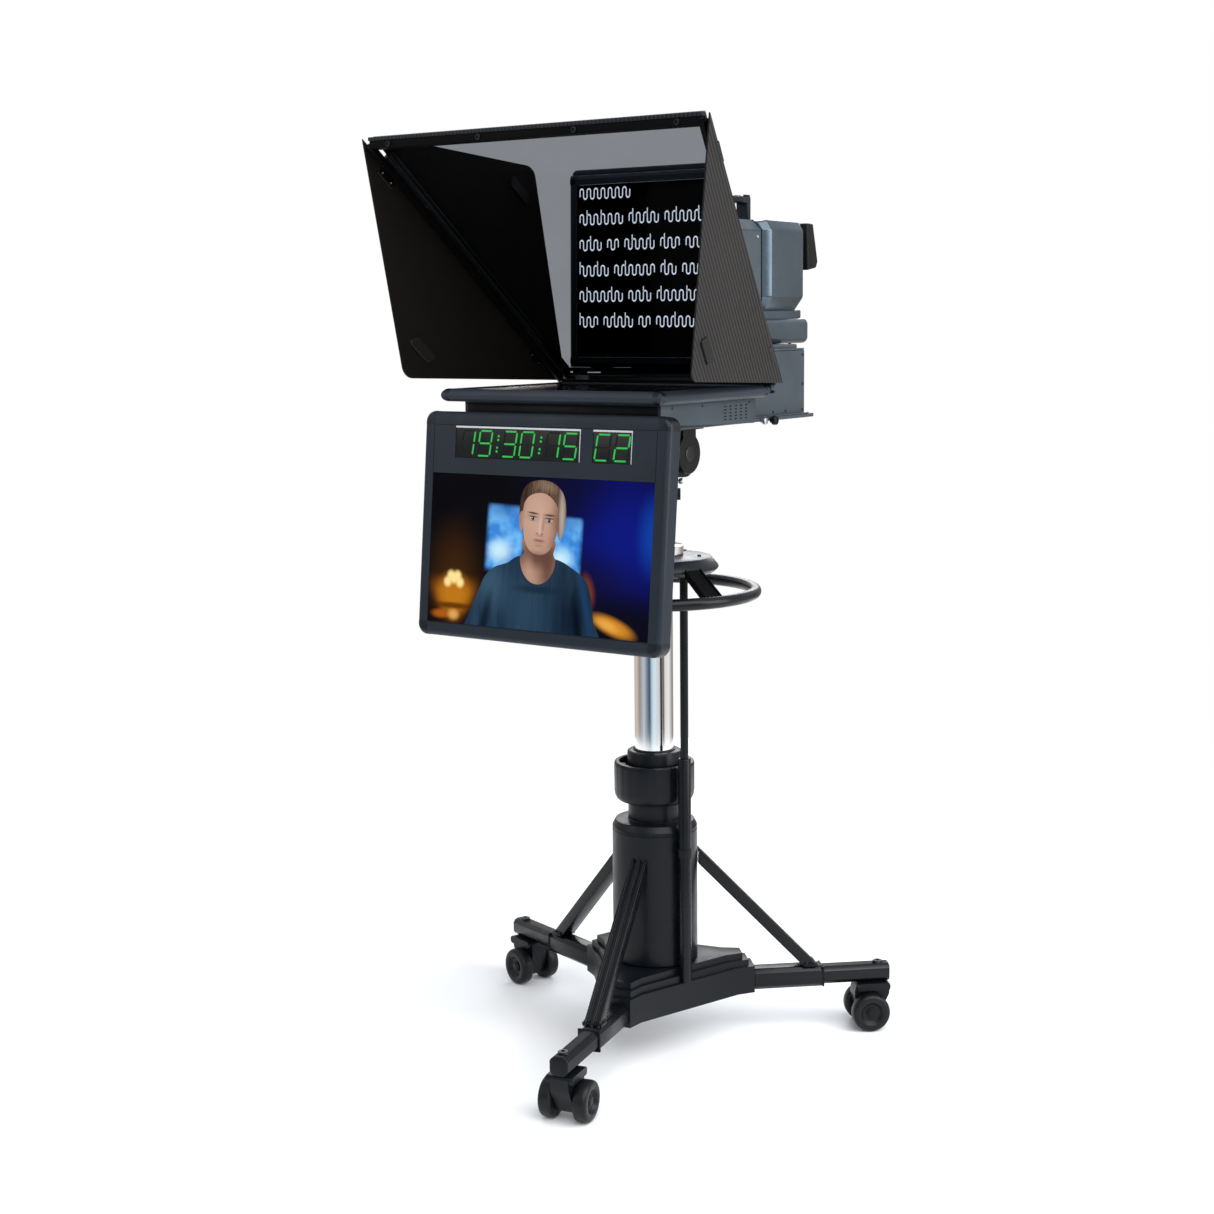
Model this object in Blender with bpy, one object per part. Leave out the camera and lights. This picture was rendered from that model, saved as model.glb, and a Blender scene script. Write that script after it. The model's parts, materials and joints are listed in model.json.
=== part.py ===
"""Studio teleprompter: a flat prompter monitor with a mirror glass and hood in front of a
broadcast camera, a talent monitor below it, and a rolling column pedestal.

Metres, +Z up, the talent stands on the -Y side.  Everything hangs on the empty "rig", which
stands on the floor on the axis of the pedestal's column.
"""
import math

import bmesh
import bpy
from mathutils import Matrix, Vector

# ---------------------------------------------------------------- driving dimensions
COLUMN_AXIS = (0.043, -0.020)     # the column in the part's frame, whose origin is the box centre
GAP = 0.0003                      # clearance between pieces that touch
ROUND = 40                        # sides of the large turned pieces
SMALL_ROUND = 20                  # sides of knobs and rods

LEG_HEADINGS = (41.6, 161.6, -78.4)     # degrees from +X
LEG_NAMES = ("right", "rear", "front")
LEG_END = 0.520                   # radius of a leg's end
LEG_STEP = 0.370                  # where the wide socket ends and the narrow tube begins
LEG_BOTTOM = 0.1035
LEG_TUBE = 0.040                  # outer size of the narrow tube
LEG_SOCKET = 0.047                # outer size of the wide socket
LEG_CHAMFER = 0.009
BASE_CORNER = 0.215               # radius where a socket leaves the base casting
BASE_HALF = 0.031                 # half width of the casting at a socket
BASE_FLANK = 0.176                # radius where the flanks start
BASE_LEVELS = ((0.098, 0.0), (0.158, 0.0), (0.172, 0.013), (0.186, 0.026))   # height, inset

WHEEL_RADIUS = 0.042
WHEEL_WIDTH = 0.030
WHEEL_SPACING = 0.074             # between the centres of a caster's two wheels
SWIVEL_RADIUS = 0.497             # swivel axis from the column
CASTER_TRAIL = 0.024              # axle behind the swivel axis

BODY_RADIUS = 0.0915
BODY_TOP = 0.494
NECK_RADIUS = 0.057
NECK_TOP = 0.5295
SLEEVE_RADIUS = 0.050
SLEEVE_TOP = 0.600
BORE_RADIUS = 0.0425
LOCK_RADIUS = 0.0865
LOCK_TOP = 0.621
COLLAR_RADIUS = 0.058
COLLAR_TOP = 0.6455
COLUMN_RADIUS = 0.0415
COLUMN_BOTTOM = 0.505

BRACE_TOP = 0.408                 # height of a brace's centre line at the body
BRACE_FOOT = 0.343                # radius where its centre line meets the leg
BRACE_WIDTH = 0.036
BRACE_DEPTH = 0.024

GUIDE_RADIUS = 0.1097             # anti-rotation rod from the column
GUIDE_HEADING = -21.7             # degrees
GUIDE_TUBE = 0.0135
GUIDE_ROD = 0.0085
GUIDE_TOP = 0.645
GUIDE_ROD_BOTTOM = 0.475

HUB_BOTTOM = 1.0295
HUB_TOP = 1.0660
HUB_RADIUS = 0.139
RING_HEIGHT = 0.988
RING_RADIUS = 0.2165
RING_TUBE = 0.0125
SPOKE_HALF = 0.020
CHROME_RADIUS = 0.065
CHROME_TOP = 1.0865
POST_RADIUS = 0.0456
POST_TOP = 1.179

PAN_RADIUS = 0.0527
PAN_TOP = 1.236
TILT_HEIGHT = 1.281               # tilt axis
HEAD_HALF = 0.080                 # half length of the tilt drum
CHEEK = 0.010
CHEEK_GAP = 0.003                 # between the drum and a cheek
CHEEK_RADIUS = 0.042
PLATFORM_BOTTOM = 1.330
PLATFORM_TOP = 1.338
SLED_TOP = 1.3468
SLED_HALF = 0.150
SLED_FRONT = -0.300
SLED_REAR = 0.432

PAN_KNOB = (0.0062, 0.0110)       # radius and length
PAN_KNOB_HEADING = 33
PAN_KNOB_HEIGHT = 1.2205
TILT_KNOB = (0.020, 0.024)
RELEASE_KNOB = (0.0075, 0.013)
RELEASE_AT = 0.197                # along the sled
LOCK_KNOB = (0.0100, 0.015)
LOCK_AT = 0.238
SLED_KNOB_DROP = 0.007            # knob axis below the sled's top

BEZEL_HALF = 0.2625               # prompter monitor
BEZEL_FRONT = -0.3725
BEZEL_REAR = 0.038
BEZEL_BOTTOM = 1.399
BEZEL_TOP = 1.424
BEZEL_RIM = 0.0215
HOUSING_HALF = 0.2345
HOUSING_FRONT = -0.330
HOUSING_REAR = 0.020
LUG_REAR = 0.0478                 # rear face of the lugs that hold the glass frame
LUG_SPAN = (0.190, 0.222)
HOUSING_RISE = 0.0105             # how much shallower the housing is at its front
VENT_SIZE = (0.0085, 0.0028)
VENT_DEPTH = 0.003
VENT_START = (-0.094, 0.012)      # along the housing, and above the sled
VENT_PITCH = (0.0205, 0.0065)
VENT_COUNT = 5                    # in each direction

GLASS_PIVOT = (0.0622, 1.431)     # y and z of the glass frame's hinge
GLASS_ANGLE = 45.6                # degrees from the floor, leaning over the monitor
GLASS_LENGTH = 0.684
GLASS_THICK = 0.004
GLASS_FOOT_HALF = 0.262
GLASS_HEAD_HALF = 0.386
BAR_WIDTH = 0.012
BAR_DEPTH = 0.010
BEAM_ALONG = 0.642                # where the beam's lower edge meets the glass
BEAM_HALF = 0.385
BEAM_DEPTH = 0.041
BEAM_HEIGHT = 0.0225
STRIP_HEIGHT = 0.0075

HOOD_TOP = (0.403, -0.428, 1.917)       # corners of the right hood panel
HOOD_FRONT = (0.340, -0.393, 1.445)
HOOD_REAR = (0.270, 0.073, 1.4265)
HOOD_SETBACK = 0.047              # hinge line from the rear corner, as a share of the lower edge
HOOD_THICK = 0.003
HOOD_CORNER = 0.026
HOOD_HINGES = (("low_leaf", 0.060), ("high_leaf", 0.585))
HINGE_LENGTH = 0.045
HINGE_KNUCKLE = 0.004
CATCH_CENTRE = (-0.078, 0.001)    # from the panel's front corner, across it and up the hinge line
CATCH_ALONG = (0.013, 0.006)      # half of its short side
CATCH_SLANT = (0.0, 0.031)        # half of its long side
CATCH_ROUND = 0.005
CATCH_THICK = 0.012

TALENT_PIVOT = (-0.334, 1.250)    # y and z of the talent monitor's hinge
TALENT_LEAN = 5.7                 # degrees, bottom edge forward
TALENT_HALF = 0.2925
TALENT_FACE = -0.0657             # front face, top and bottom edge from the hinge, along the monitor
TALENT_HEAD = 0.1252
TALENT_FOOT = -0.3248
TALENT_DEPTH = 0.045
TALENT_CORNER = 0.022
SCREEN_SIZE = (0.5314, 0.2989)    # a 24 inch panel, 16:9
SCREEN_CENTRE = -0.1473
CLOCK_SPAN = (-0.2110, 0.0930)
CUE_SPAN = (0.1210, 0.2117)
WINDOW_FOOT = 0.0335
WINDOW_HEAD = 0.0970

RISER_HALF = 0.140
RISER_FRONT = 0.120
RISER_REAR = 0.407
RISER_TOP = 1.4865
PLATE_TOP = 1.4995
PLATE_HALF = 0.125
PLATE_SPAN = (0.140, 0.400)
CAMERA_HALF = 0.085
CAMERA_FRONT = 0.120
CAMERA_SPLIT = 0.311              # where the rear shell begins
CAMERA_REAR = 0.500
CAMERA_TOP = 1.768
CAMERA_LOW = 1.5533               # underside of the front body
CAMERA_SHOULDER = 0.022
SHELL_HALF = 0.100
SHELL_BOTTOM = 1.566
LENS_HEIGHT = 1.672
LENS_FRONT = -0.030
LENS_RADIUS = 0.048
FOCUS_SPAN = (0.050, 0.095)       # from the lens mount
HANDLE_TOP = 1.822
HANDLE_SPAN = (0.185, 0.386)
HANDLE_LEG = 0.016
HANDLE_THICK = 0.014
HANDLE_WIDTH = 0.030
VIEWFINDER_HALF = 0.092


# ---------------------------------------------------------------- general helpers
def clear_scene():
    for old in list(bpy.data.objects):
        bpy.data.objects.remove(old)


def material(name, colour, roughness, metallic=0.0):
    made = bpy.data.materials.new(name)
    made.use_nodes = True
    shader = made.node_tree.nodes["Principled BSDF"]
    shader.inputs["Base Color"].default_value = (*colour, 1.0)
    shader.inputs["Roughness"].default_value = roughness
    shader.inputs["Metallic"].default_value = metallic
    made.diffuse_color = (*colour, 1.0)
    return made


def empty(name, parent=None, location=(0, 0, 0), rotation=(0, 0, 0)):
    made = bpy.data.objects.new(name, None)
    bpy.context.collection.objects.link(made)
    made.parent = parent
    made.location = location
    made.rotation_euler = rotation
    return made


def solid(name, bm, look, parent, location=(0, 0, 0), rotation=(0, 0, 0), smooth=True):
    """Turn a bmesh into a named object with outward faces."""
    bmesh.ops.recalc_face_normals(bm, faces=bm.faces)
    mesh = bpy.data.meshes.new(name)
    bm.to_mesh(mesh)
    bm.free()
    if look is not None:
        mesh.materials.append(look)
    if smooth:
        mesh.shade_smooth()
        mesh.set_sharp_from_angle(angle=math.radians(35))
    made = bpy.data.objects.new(name, mesh)
    bpy.context.collection.objects.link(made)
    made.parent = parent
    made.location = location
    made.rotation_euler = rotation
    return made


def box_mesh(low, high):
    """A box between two opposite corners."""
    bm = bmesh.new()
    bmesh.ops.create_cube(bm, size=1.0)
    size = Vector(high) - Vector(low)
    centre = (Vector(high) + Vector(low)) / 2
    bmesh.ops.scale(bm, vec=size, verts=bm.verts)
    bmesh.ops.translate(bm, vec=centre, verts=bm.verts)
    return bm


def turned_mesh(profile, sides=ROUND, closed=False):
    """Turn a profile of (radius, height) points about Z.

    An open profile starts and ends on the axis; a closed one makes a ring."""
    bm = bmesh.new()
    points = [bm.verts.new((radius, 0.0, height)) for radius, height in profile]
    edges = [bm.edges.new(pair) for pair in zip(points, points[1:])]
    if closed:
        edges.append(bm.edges.new((points[-1], points[0])))
    bmesh.ops.spin(bm, geom=points + edges, cent=(0, 0, 0), axis=(0, 0, 1),
                   angle=math.tau, steps=sides, use_merge=True)
    bmesh.ops.remove_doubles(bm, verts=bm.verts, dist=1e-6)
    return bm


def loft_mesh(rings):
    """Skin between rings of equal length and cap both ends."""
    bm = bmesh.new()
    rows = [[bm.verts.new(point) for point in ring] for ring in rings]
    count = len(rows[0])
    for lower, upper in zip(rows, rows[1:]):
        for i in range(count):
            j = (i + 1) % count
            bm.faces.new((lower[i], lower[j], upper[j], upper[i]))
    bm.faces.new(list(reversed(rows[0])))
    bm.faces.new(rows[-1])
    return bm


def prism_mesh(outline, place):
    """Loft one flat outline between the two positions that place(point, end) gives."""
    return loft_mesh([[place(point, end) for point in outline] for end in (0, 1)])


def arc(centre, radius, start, end, steps):
    """Points on an arc, with the angles in degrees."""
    points = []
    for i in range(steps + 1):
        angle = math.radians(start + (end - start) * i / steps)
        points.append((centre[0] + radius * math.cos(angle), centre[1] + radius * math.sin(angle)))
    return points


def rounded_rectangle(low, high, radius, steps=5):
    x0, y0 = low
    x1, y1 = high
    points = arc((x1 - radius, y1 - radius), radius, 0, 90, steps)
    points += arc((x0 + radius, y1 - radius), radius, 90, 180, steps)
    points += arc((x0 + radius, y0 + radius), radius, 180, 270, steps)
    points += arc((x1 - radius, y0 + radius), radius, 270, 360, steps)
    return points


def chamfered_square(half, chamfer):
    """The section of a leg, as (side, height) points about its centre."""
    inner = half - chamfer
    return [(half, -inner), (half, inner), (inner, half), (-inner, half),
            (-half, inner), (-half, -inner), (-inner, -half), (inner, -half)]


def bevel(made, width, segments=2, angle=50):
    rounding = made.modifiers.new("edge rounding", "BEVEL")
    rounding.width = width
    rounding.segments = segments
    rounding.limit_method = "ANGLE"
    rounding.angle_limit = math.radians(angle)
    rounding.use_clamp_overlap = True


def combine(made, tool, operation):
    """Cut or add a helper solid with a Boolean; the helper itself is not part of the object."""
    tool.hide_render = True
    tool.display_type = "WIRE"
    step = made.modifiers.new(operation.lower(), "BOOLEAN")
    step.operation = operation
    step.solver = "EXACT"
    step.object = tool


def helper_box(made, low, high, operation, name):
    tool = solid(made.name + "_" + name, box_mesh(low, high), None, made.parent,
                 made.location, made.rotation_euler, smooth=False)
    combine(made, tool, operation)
    return tool


def heading_point(radius, side, heading):
    """A plan point given along and across a heading in degrees."""
    angle = math.radians(heading)
    return (radius * math.cos(angle) - side * math.sin(angle),
            radius * math.sin(angle) + side * math.cos(angle))


# ---------------------------------------------------------------- looks
def make_looks():
    return {
        "cast": material("black_casting", (0.012, 0.015, 0.019), 0.42, 0.3),
        "tube": material("black_tube", (0.010, 0.012, 0.016), 0.35, 0.4),
        "shell": material("slate_shell", (0.034, 0.044, 0.055), 0.38, 0.2),
        "panel": material("slate_panel", (0.10, 0.14, 0.17), 0.40, 0.3),
        "carbon": material("ribbed_carbon", (0.055, 0.053, 0.050), 0.50, 0.0),
        "black": material("satin_black", (0.008, 0.008, 0.009), 0.45, 0.0),
        "chrome": material("polished_chrome", (0.80, 0.80, 0.80), 0.08, 1.0),
        "steel": material("turned_steel", (0.50, 0.52, 0.54), 0.30, 1.0),
        "rubber": material("wheel_rubber", (0.012, 0.013, 0.015), 0.55, 0.0),
        "mirror": material("mirror_glass", (0.45, 0.48, 0.50), 0.03, 0.9),
        "screen": material("dark_screen", (0.010, 0.010, 0.012), 0.08, 0.0),
        "window": material("display_window", (0.015, 0.016, 0.015), 0.20, 0.0),
    }


# ---------------------------------------------------------------- dolly
def base_outline(inset):
    """Three-armed plan of the casting, drawn in by an inset."""
    points = []
    for heading in LEG_HEADINGS:
        corner = BASE_CORNER - inset
        flank = BASE_FLANK - inset
        half = BASE_HALF - inset * 0.35
        points.append(heading_point(flank, -half - 0.006, heading))
        points.append(heading_point(corner, -half + 0.004, heading))
        points.append(heading_point(corner, half - 0.004, heading))
        points.append(heading_point(flank, half + 0.006, heading))
    return points


def make_base(rig, look):
    """The star-shaped casting, in three stepped tiers."""
    rings = []
    for (low, _), (high, inset) in zip(BASE_LEVELS, BASE_LEVELS[1:]):
        for height in (low, high):
            rings.append([(x, y, height) for x, y in base_outline(inset)])
    casting = solid("base_casting", loft_mesh(rings), look["cast"], rig, smooth=False)
    x, y = heading_point(GUIDE_RADIUS, 0, GUIDE_HEADING)
    seat_radius = GUIDE_TUBE + 0.0006
    seat = turned_mesh([(0, BASE_LEVELS[1][0]), (seat_radius, BASE_LEVELS[1][0]),
                        (seat_radius, BASE_LEVELS[-1][0] + 0.010), (0, BASE_LEVELS[-1][0] + 0.010)],
                       SMALL_ROUND)
    combine(casting, solid("guide_seat", seat, None, rig, (x, y, 0)), "DIFFERENCE")


def make_leg(rig, look, name, heading):
    """A leg: a wide chamfered socket that steps down to a narrower tube."""
    middle = LEG_BOTTOM + LEG_TUBE / 2
    wide = chamfered_square(LEG_SOCKET / 2, LEG_CHAMFER)
    narrow = chamfered_square(LEG_TUBE / 2, LEG_CHAMFER)
    start = BASE_CORNER + GAP

    def section(outline, radius):
        return [(radius, side, middle + height) for side, height in outline]

    rings = [section(wide, start), section(wide, LEG_STEP),
             section(narrow, LEG_STEP), section(narrow, LEG_END)]
    solid("leg_" + name, loft_mesh(rings), look["tube"], rig,
          rotation=(0, 0, math.radians(heading)), smooth=False)


def make_brace(rig, look, name, heading):
    """A diagonal channel with two long grooves, cut upright at the body and level on the leg."""
    half = BRACE_WIDTH / 2
    groove_out = half * 0.70
    groove_in = half * 0.16
    floor = BRACE_DEPTH * 0.30
    depth = BRACE_DEPTH / 2
    section = [(-half, -depth), (half, -depth), (half, depth), (groove_out, depth),
               (groove_out, floor), (groove_in, floor), (groove_in, depth), (-groove_in, depth),
               (-groove_in, floor), (-groove_out, floor), (-groove_out, depth), (-half, depth)]
    leg_top = LEG_BOTTOM + LEG_TUBE / 2 + LEG_SOCKET / 2 + GAP
    start_radius = BODY_RADIUS + 0.0022
    slope = (leg_top - BRACE_TOP) / (BRACE_FOOT - start_radius)
    tilt = math.atan(slope)

    def place(point, end):
        side, outward = point
        radius = start_radius - outward * math.sin(tilt)
        height = BRACE_TOP + outward * math.cos(tilt)
        if end == 0:
            return (start_radius, side, height + (start_radius - radius) * slope)
        return (radius + (leg_top - height) / slope, side, leg_top)

    solid("brace_" + name, prism_mesh(section, place), look["tube"], rig,
          rotation=(0, 0, math.radians(heading)), smooth=False)


def make_pedestal_body(rig, look):
    """The fixed outer column with its neck and the sleeve that carries the lock ring."""
    bottom = BASE_LEVELS[-1][0] + GAP
    groove = BODY_TOP - 0.019
    profile = [(0, bottom), (BODY_RADIUS, bottom), (BODY_RADIUS, groove - 0.002),
               (BODY_RADIUS - 0.002, groove - 0.001), (BODY_RADIUS - 0.002, groove + 0.001),
               (BODY_RADIUS, groove + 0.002), (BODY_RADIUS, groove + 0.006),
               (BODY_RADIUS - 0.008, BODY_TOP), (NECK_RADIUS, BODY_TOP), (NECK_RADIUS, NECK_TOP),
               (SLEEVE_RADIUS, NECK_TOP), (SLEEVE_RADIUS, SLEEVE_TOP), (BORE_RADIUS, SLEEVE_TOP),
               (BORE_RADIUS, bottom + 0.012), (0, bottom + 0.012)]
    solid("pedestal_body", turned_mesh(profile), look["cast"], rig)


def make_lock_ring(rig, look):
    """The wide grip ring that clamps the column at its height."""
    low = NECK_TOP + GAP
    bore = SLEEVE_RADIUS + 0.0006
    recess = LOCK_RADIUS - 0.011
    shelf = SLEEVE_TOP - 0.004
    profile = [(bore, low), (LOCK_RADIUS - 0.012, low), (LOCK_RADIUS - 0.004, low + 0.007),
               (LOCK_RADIUS, low + 0.016), (LOCK_RADIUS, LOCK_TOP - 0.003),
               (LOCK_RADIUS - 0.003, LOCK_TOP), (recess, LOCK_TOP), (recess, shelf), (bore, shelf)]
    solid("height_lock_ring", turned_mesh(profile, closed=True), look["cast"], rig)


def make_guide_collar(rig, look):
    """The gland at the top of the fixed column."""
    low = SLEEVE_TOP + GAP
    profile = [(BORE_RADIUS, low), (COLLAR_RADIUS, low), (COLLAR_RADIUS, COLLAR_TOP - 0.003),
               (COLLAR_RADIUS - 0.003, COLLAR_TOP), (BORE_RADIUS, COLLAR_TOP)]
    solid("guide_collar", turned_mesh(profile, closed=True), look["cast"], rig)


def make_guide_tube(rig, look):
    x, y = heading_point(GUIDE_RADIUS, 0, GUIDE_HEADING)
    low = BASE_LEVELS[1][0] + GAP
    bore = GUIDE_ROD + 0.0006
    profile = [(0, low), (GUIDE_TUBE, low), (GUIDE_TUBE, GUIDE_TOP - 0.002),
               (GUIDE_TUBE - 0.002, GUIDE_TOP), (bore, GUIDE_TOP), (bore, low + 0.010),
               (0, low + 0.010)]
    solid("guide_tube", turned_mesh(profile, SMALL_ROUND), look["tube"], rig, (x, y, 0))


def make_caster(rig, look, name, heading):
    """A swivelling fork with two wheels on one axle."""
    x, y = heading_point(SWIVEL_RADIUS, 0, heading)
    swivel = empty("caster_" + name, rig, (x, y, 0), (0, 0, math.radians(heading)))
    axle = (-CASTER_TRAIL, WHEEL_RADIUS)
    web_half = (WHEEL_SPACING - WHEEL_WIDTH) / 2 - 0.0012
    crown_low = 2 * WHEEL_RADIUS + 0.0022
    crown_high = LEG_BOTTOM - GAP
    web = arc(axle, 0.030, 165, 345, 8)
    web += [(0.014, 0.060), (0.022, 0.076), (0.024, crown_high - 0.004), (-0.050, crown_high - 0.004)]
    web += [(-0.056, 0.072)]
    fork = solid("caster_fork_" + name,
                 prism_mesh(web, lambda p, end: (p[0], (2 * end - 1) * web_half, p[1])),
                 look["cast"], swivel)
    crown = rounded_rectangle((-0.051, -0.030), (0.025, 0.030), 0.012, 3)
    crown_tool = solid("crown_" + name,
                       prism_mesh(crown, lambda p, end: (p[0], p[1], (crown_low, crown_high)[end])),
                       None, swivel, smooth=False)
    combine(fork, crown_tool, "UNION")
    for side, sign in (("a", 1), ("b", -1)):
        make_wheel(swivel, look, name + "_" + side, axle, sign)


def make_wheel(swivel, look, name, axle, sign):
    """A dished wheel with a rounded tread; its outer face looks along +Z before turning."""
    half = WHEEL_WIDTH / 2
    rim = WHEEL_RADIUS
    profile = [(0, half - 0.004), (0.014, half - 0.004), (0.017, half - 0.009),
               (0.023, half - 0.009), (0.028, half - 0.001), (0.034, half), (rim - 0.003, half - 0.001),
               (rim, half - 0.006), (rim, -half + 0.004), (rim - 0.003, -half), (0, -half)]
    solid("wheel_" + name, turned_mesh(profile, 32), look["rubber"], swivel,
          (axle[0], sign * WHEEL_SPACING / 2, axle[1]), (-sign * math.pi / 2, 0, 0))


# ---------------------------------------------------------------- lifting column
def make_column(lift, look):
    """The polished inner column, an open tube."""
    wall = 0.004
    top = HUB_BOTTOM - GAP
    profile = [(COLUMN_RADIUS - wall, COLUMN_BOTTOM), (COLUMN_RADIUS, COLUMN_BOTTOM),
               (COLUMN_RADIUS, top), (COLUMN_RADIUS - wall, top)]
    solid("column_tube", turned_mesh(profile, closed=True), look["chrome"], lift)
    hub = [(0, HUB_BOTTOM), (HUB_RADIUS - 0.009, HUB_BOTTOM), (HUB_RADIUS, HUB_BOTTOM + 0.010),
           (HUB_RADIUS - 0.001, HUB_BOTTOM + 0.014), (HUB_RADIUS - 0.018, HUB_TOP - 0.003),
           (CHROME_RADIUS, HUB_TOP), (0, HUB_TOP)]
    solid("hub_disc", turned_mesh(hub), look["shell"], lift)
    ring = [(0, HUB_TOP + GAP), (CHROME_RADIUS, HUB_TOP + GAP), (CHROME_RADIUS, CHROME_TOP - 0.002),
            (CHROME_RADIUS - 0.002, CHROME_TOP), (0, CHROME_TOP)]
    solid("chrome_collar", turned_mesh(ring), look["chrome"], lift)
    post = [(0, CHROME_TOP + GAP), (POST_RADIUS, CHROME_TOP + GAP), (POST_RADIUS, POST_TOP - 0.010),
            (POST_RADIUS + 0.004, POST_TOP - 0.008), (POST_RADIUS + 0.004, POST_TOP), (0, POST_TOP)]
    solid("upper_post", turned_mesh(post), look["tube"], lift)
    x, y = heading_point(GUIDE_RADIUS, 0, GUIDE_HEADING)
    rod = [(0, GUIDE_ROD_BOTTOM), (GUIDE_ROD, GUIDE_ROD_BOTTOM), (GUIDE_ROD, HUB_BOTTOM - GAP),
           (0, HUB_BOTTOM - GAP)]
    solid("guide_rod", turned_mesh(rod, SMALL_ROUND), look["tube"], lift, (x, y, 0))


def make_control_ring(lift, look):
    """The ring the operator pushes, with three flat spokes that rise onto the hub's rim."""
    bm = bmesh.new()
    section = [bm.verts.new((RING_RADIUS + x, 0, RING_HEIGHT + z))
               for x, z in arc((0, 0), RING_TUBE, 0, 330, 11)]
    edges = [bm.edges.new((section[i], section[(i + 1) % 12])) for i in range(12)]
    bmesh.ops.spin(bm, geom=section + edges, cent=(0, 0, 0), axis=(0, 0, 1),
                   angle=math.tau, steps=64, use_merge=True)
    bmesh.ops.remove_doubles(bm, verts=bm.verts, dist=1e-6)
    ring = solid("control_ring", bm, look["tube"], lift)
    inner_radius = HUB_RADIUS + 0.0015
    for index in range(3):
        heading = GUIDE_HEADING + 120 * index
        side_view = [(inner_radius, HUB_BOTTOM + 0.016), (inner_radius, HUB_BOTTOM + 0.002),
                     (RING_RADIUS - 0.004, RING_HEIGHT - 0.007), (RING_RADIUS + 0.004, RING_HEIGHT + 0.006)]
        spoke = solid("spoke_%d" % index,
                      prism_mesh(side_view, lambda p, end: (p[0], (2 * end - 1) * SPOKE_HALF, p[1])),
                      None, lift, rotation=(0, 0, math.radians(heading)), smooth=False)
        combine(ring, spoke, "UNION")


# ---------------------------------------------------------------- pan and tilt head
def make_pan_head(pan, look):
    """The turning base of the head with the fixed half of the tilt drum."""
    low = POST_TOP + GAP
    profile = [(0, low), (PAN_RADIUS - 0.002, low), (PAN_RADIUS, low + 0.002),
               (PAN_RADIUS, PAN_TOP - 0.006), (PAN_RADIUS - 0.006, PAN_TOP), (0, PAN_TOP)]
    head = solid("pan_head", turned_mesh(profile), look["black"], pan)
    outline = rounded_rectangle((-0.038, PAN_TOP - 0.004), (0.038, TILT_HEIGHT + 0.039), 0.030, 5)
    drum = solid("drum", prism_mesh(outline, lambda p, end: ((2 * end - 1) * HEAD_HALF, p[0], p[1])),
                 None, pan, smooth=False)
    combine(head, drum, "UNION")


def make_knob(name, look, parent, location, rotation, size):
    """A plain turning knob with a small waist; it stands along its own +Z."""
    radius, length = size
    profile = [(0, 0), (radius * 0.6, 0), (radius * 0.6, length * 0.25), (radius, length * 0.35),
               (radius, length * 0.9), (radius * 0.85, length), (0, length)]
    solid(name, turned_mesh(profile, SMALL_ROUND), look, parent, location, rotation)


def make_tilt_platform(tilt, look):
    """The tilting plate with one cheek on each side of the drum."""
    outer = HEAD_HALF + CHEEK_GAP + CHEEK
    low = PLATFORM_BOTTOM - TILT_HEIGHT
    high = PLATFORM_TOP - TILT_HEIGHT
    plate = solid("tilt_platform", box_mesh((-outer, -0.045, low), (outer, 0.056, high)),
                  look["black"], tilt, smooth=False)
    neck = 0.025
    start = math.degrees(math.acos(neck / CHEEK_RADIUS))
    outline = arc((0, 0), CHEEK_RADIUS, start, -180 - start, 20)
    outline += [(-neck, high - 0.003), (neck, high - 0.003)]
    for name, inner in (("left", -outer), ("right", outer - CHEEK)):
        cheek = solid("cheek_" + name,
                      prism_mesh(outline, lambda p, end: (inner + end * CHEEK, p[0], p[1])),
                      None, tilt, smooth=False)
        combine(plate, cheek, "UNION")


def make_sled(tilt, look):
    """The long plate that carries the monitor at its front and the camera behind."""
    low = PLATFORM_TOP + GAP - TILT_HEIGHT
    high = SLED_TOP - TILT_HEIGHT
    sled = solid("sled_plate", box_mesh((-SLED_HALF, SLED_FRONT, low), (SLED_HALF, SLED_REAR, high)),
                 look["panel"], tilt, smooth=False)
    bevel(sled, 0.0015, 1)


# ---------------------------------------------------------------- prompter monitor
def make_prompter(tilt, look):
    """The flat monitor: a bullnose bezel, its screen and the electronics housing below."""
    low = BEZEL_BOTTOM - TILT_HEIGHT
    high = BEZEL_TOP - TILT_HEIGHT
    bezel = solid("prompter_bezel",
                  box_mesh((-BEZEL_HALF, BEZEL_FRONT, low), (BEZEL_HALF, BEZEL_REAR, high)),
                  look["shell"], tilt)
    bevel(bezel, 0.0115, 4)
    inner = BEZEL_HALF - BEZEL_RIM
    front = BEZEL_FRONT + BEZEL_RIM
    rear = BEZEL_REAR - BEZEL_RIM
    floor = low + 0.008
    helper_box(bezel, (-inner, front, floor), (inner, rear, high + 0.010), "DIFFERENCE", "opening")
    gap = 2 * GAP
    solid("prompter_screen",
          box_mesh((-inner + gap, front + gap, floor + GAP), (inner - gap, rear - gap, high - 0.0015)),
          look["screen"], tilt, smooth=False)


def vent_slots(foot):
    """The rows of small slots in both sides of the housing."""
    vents = bmesh.new()
    reach = Vector((VENT_DEPTH, VENT_SIZE[0] / 2, VENT_SIZE[1] / 2))
    for index in range(2 * VENT_COUNT * VENT_COUNT):
        side = -1 if index % 2 else 1
        column, row = divmod(index // 2, VENT_COUNT)
        centre = Vector((side * HOUSING_HALF, VENT_START[0] + column * VENT_PITCH[0],
                         foot + VENT_START[1] + row * VENT_PITCH[1]))
        slot = box_mesh(centre - reach, centre + reach)
        slot_mesh = bpy.data.meshes.new("vent")
        slot.to_mesh(slot_mesh)
        slot.free()
        vents.from_mesh(slot_mesh)
    return vents


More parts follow.
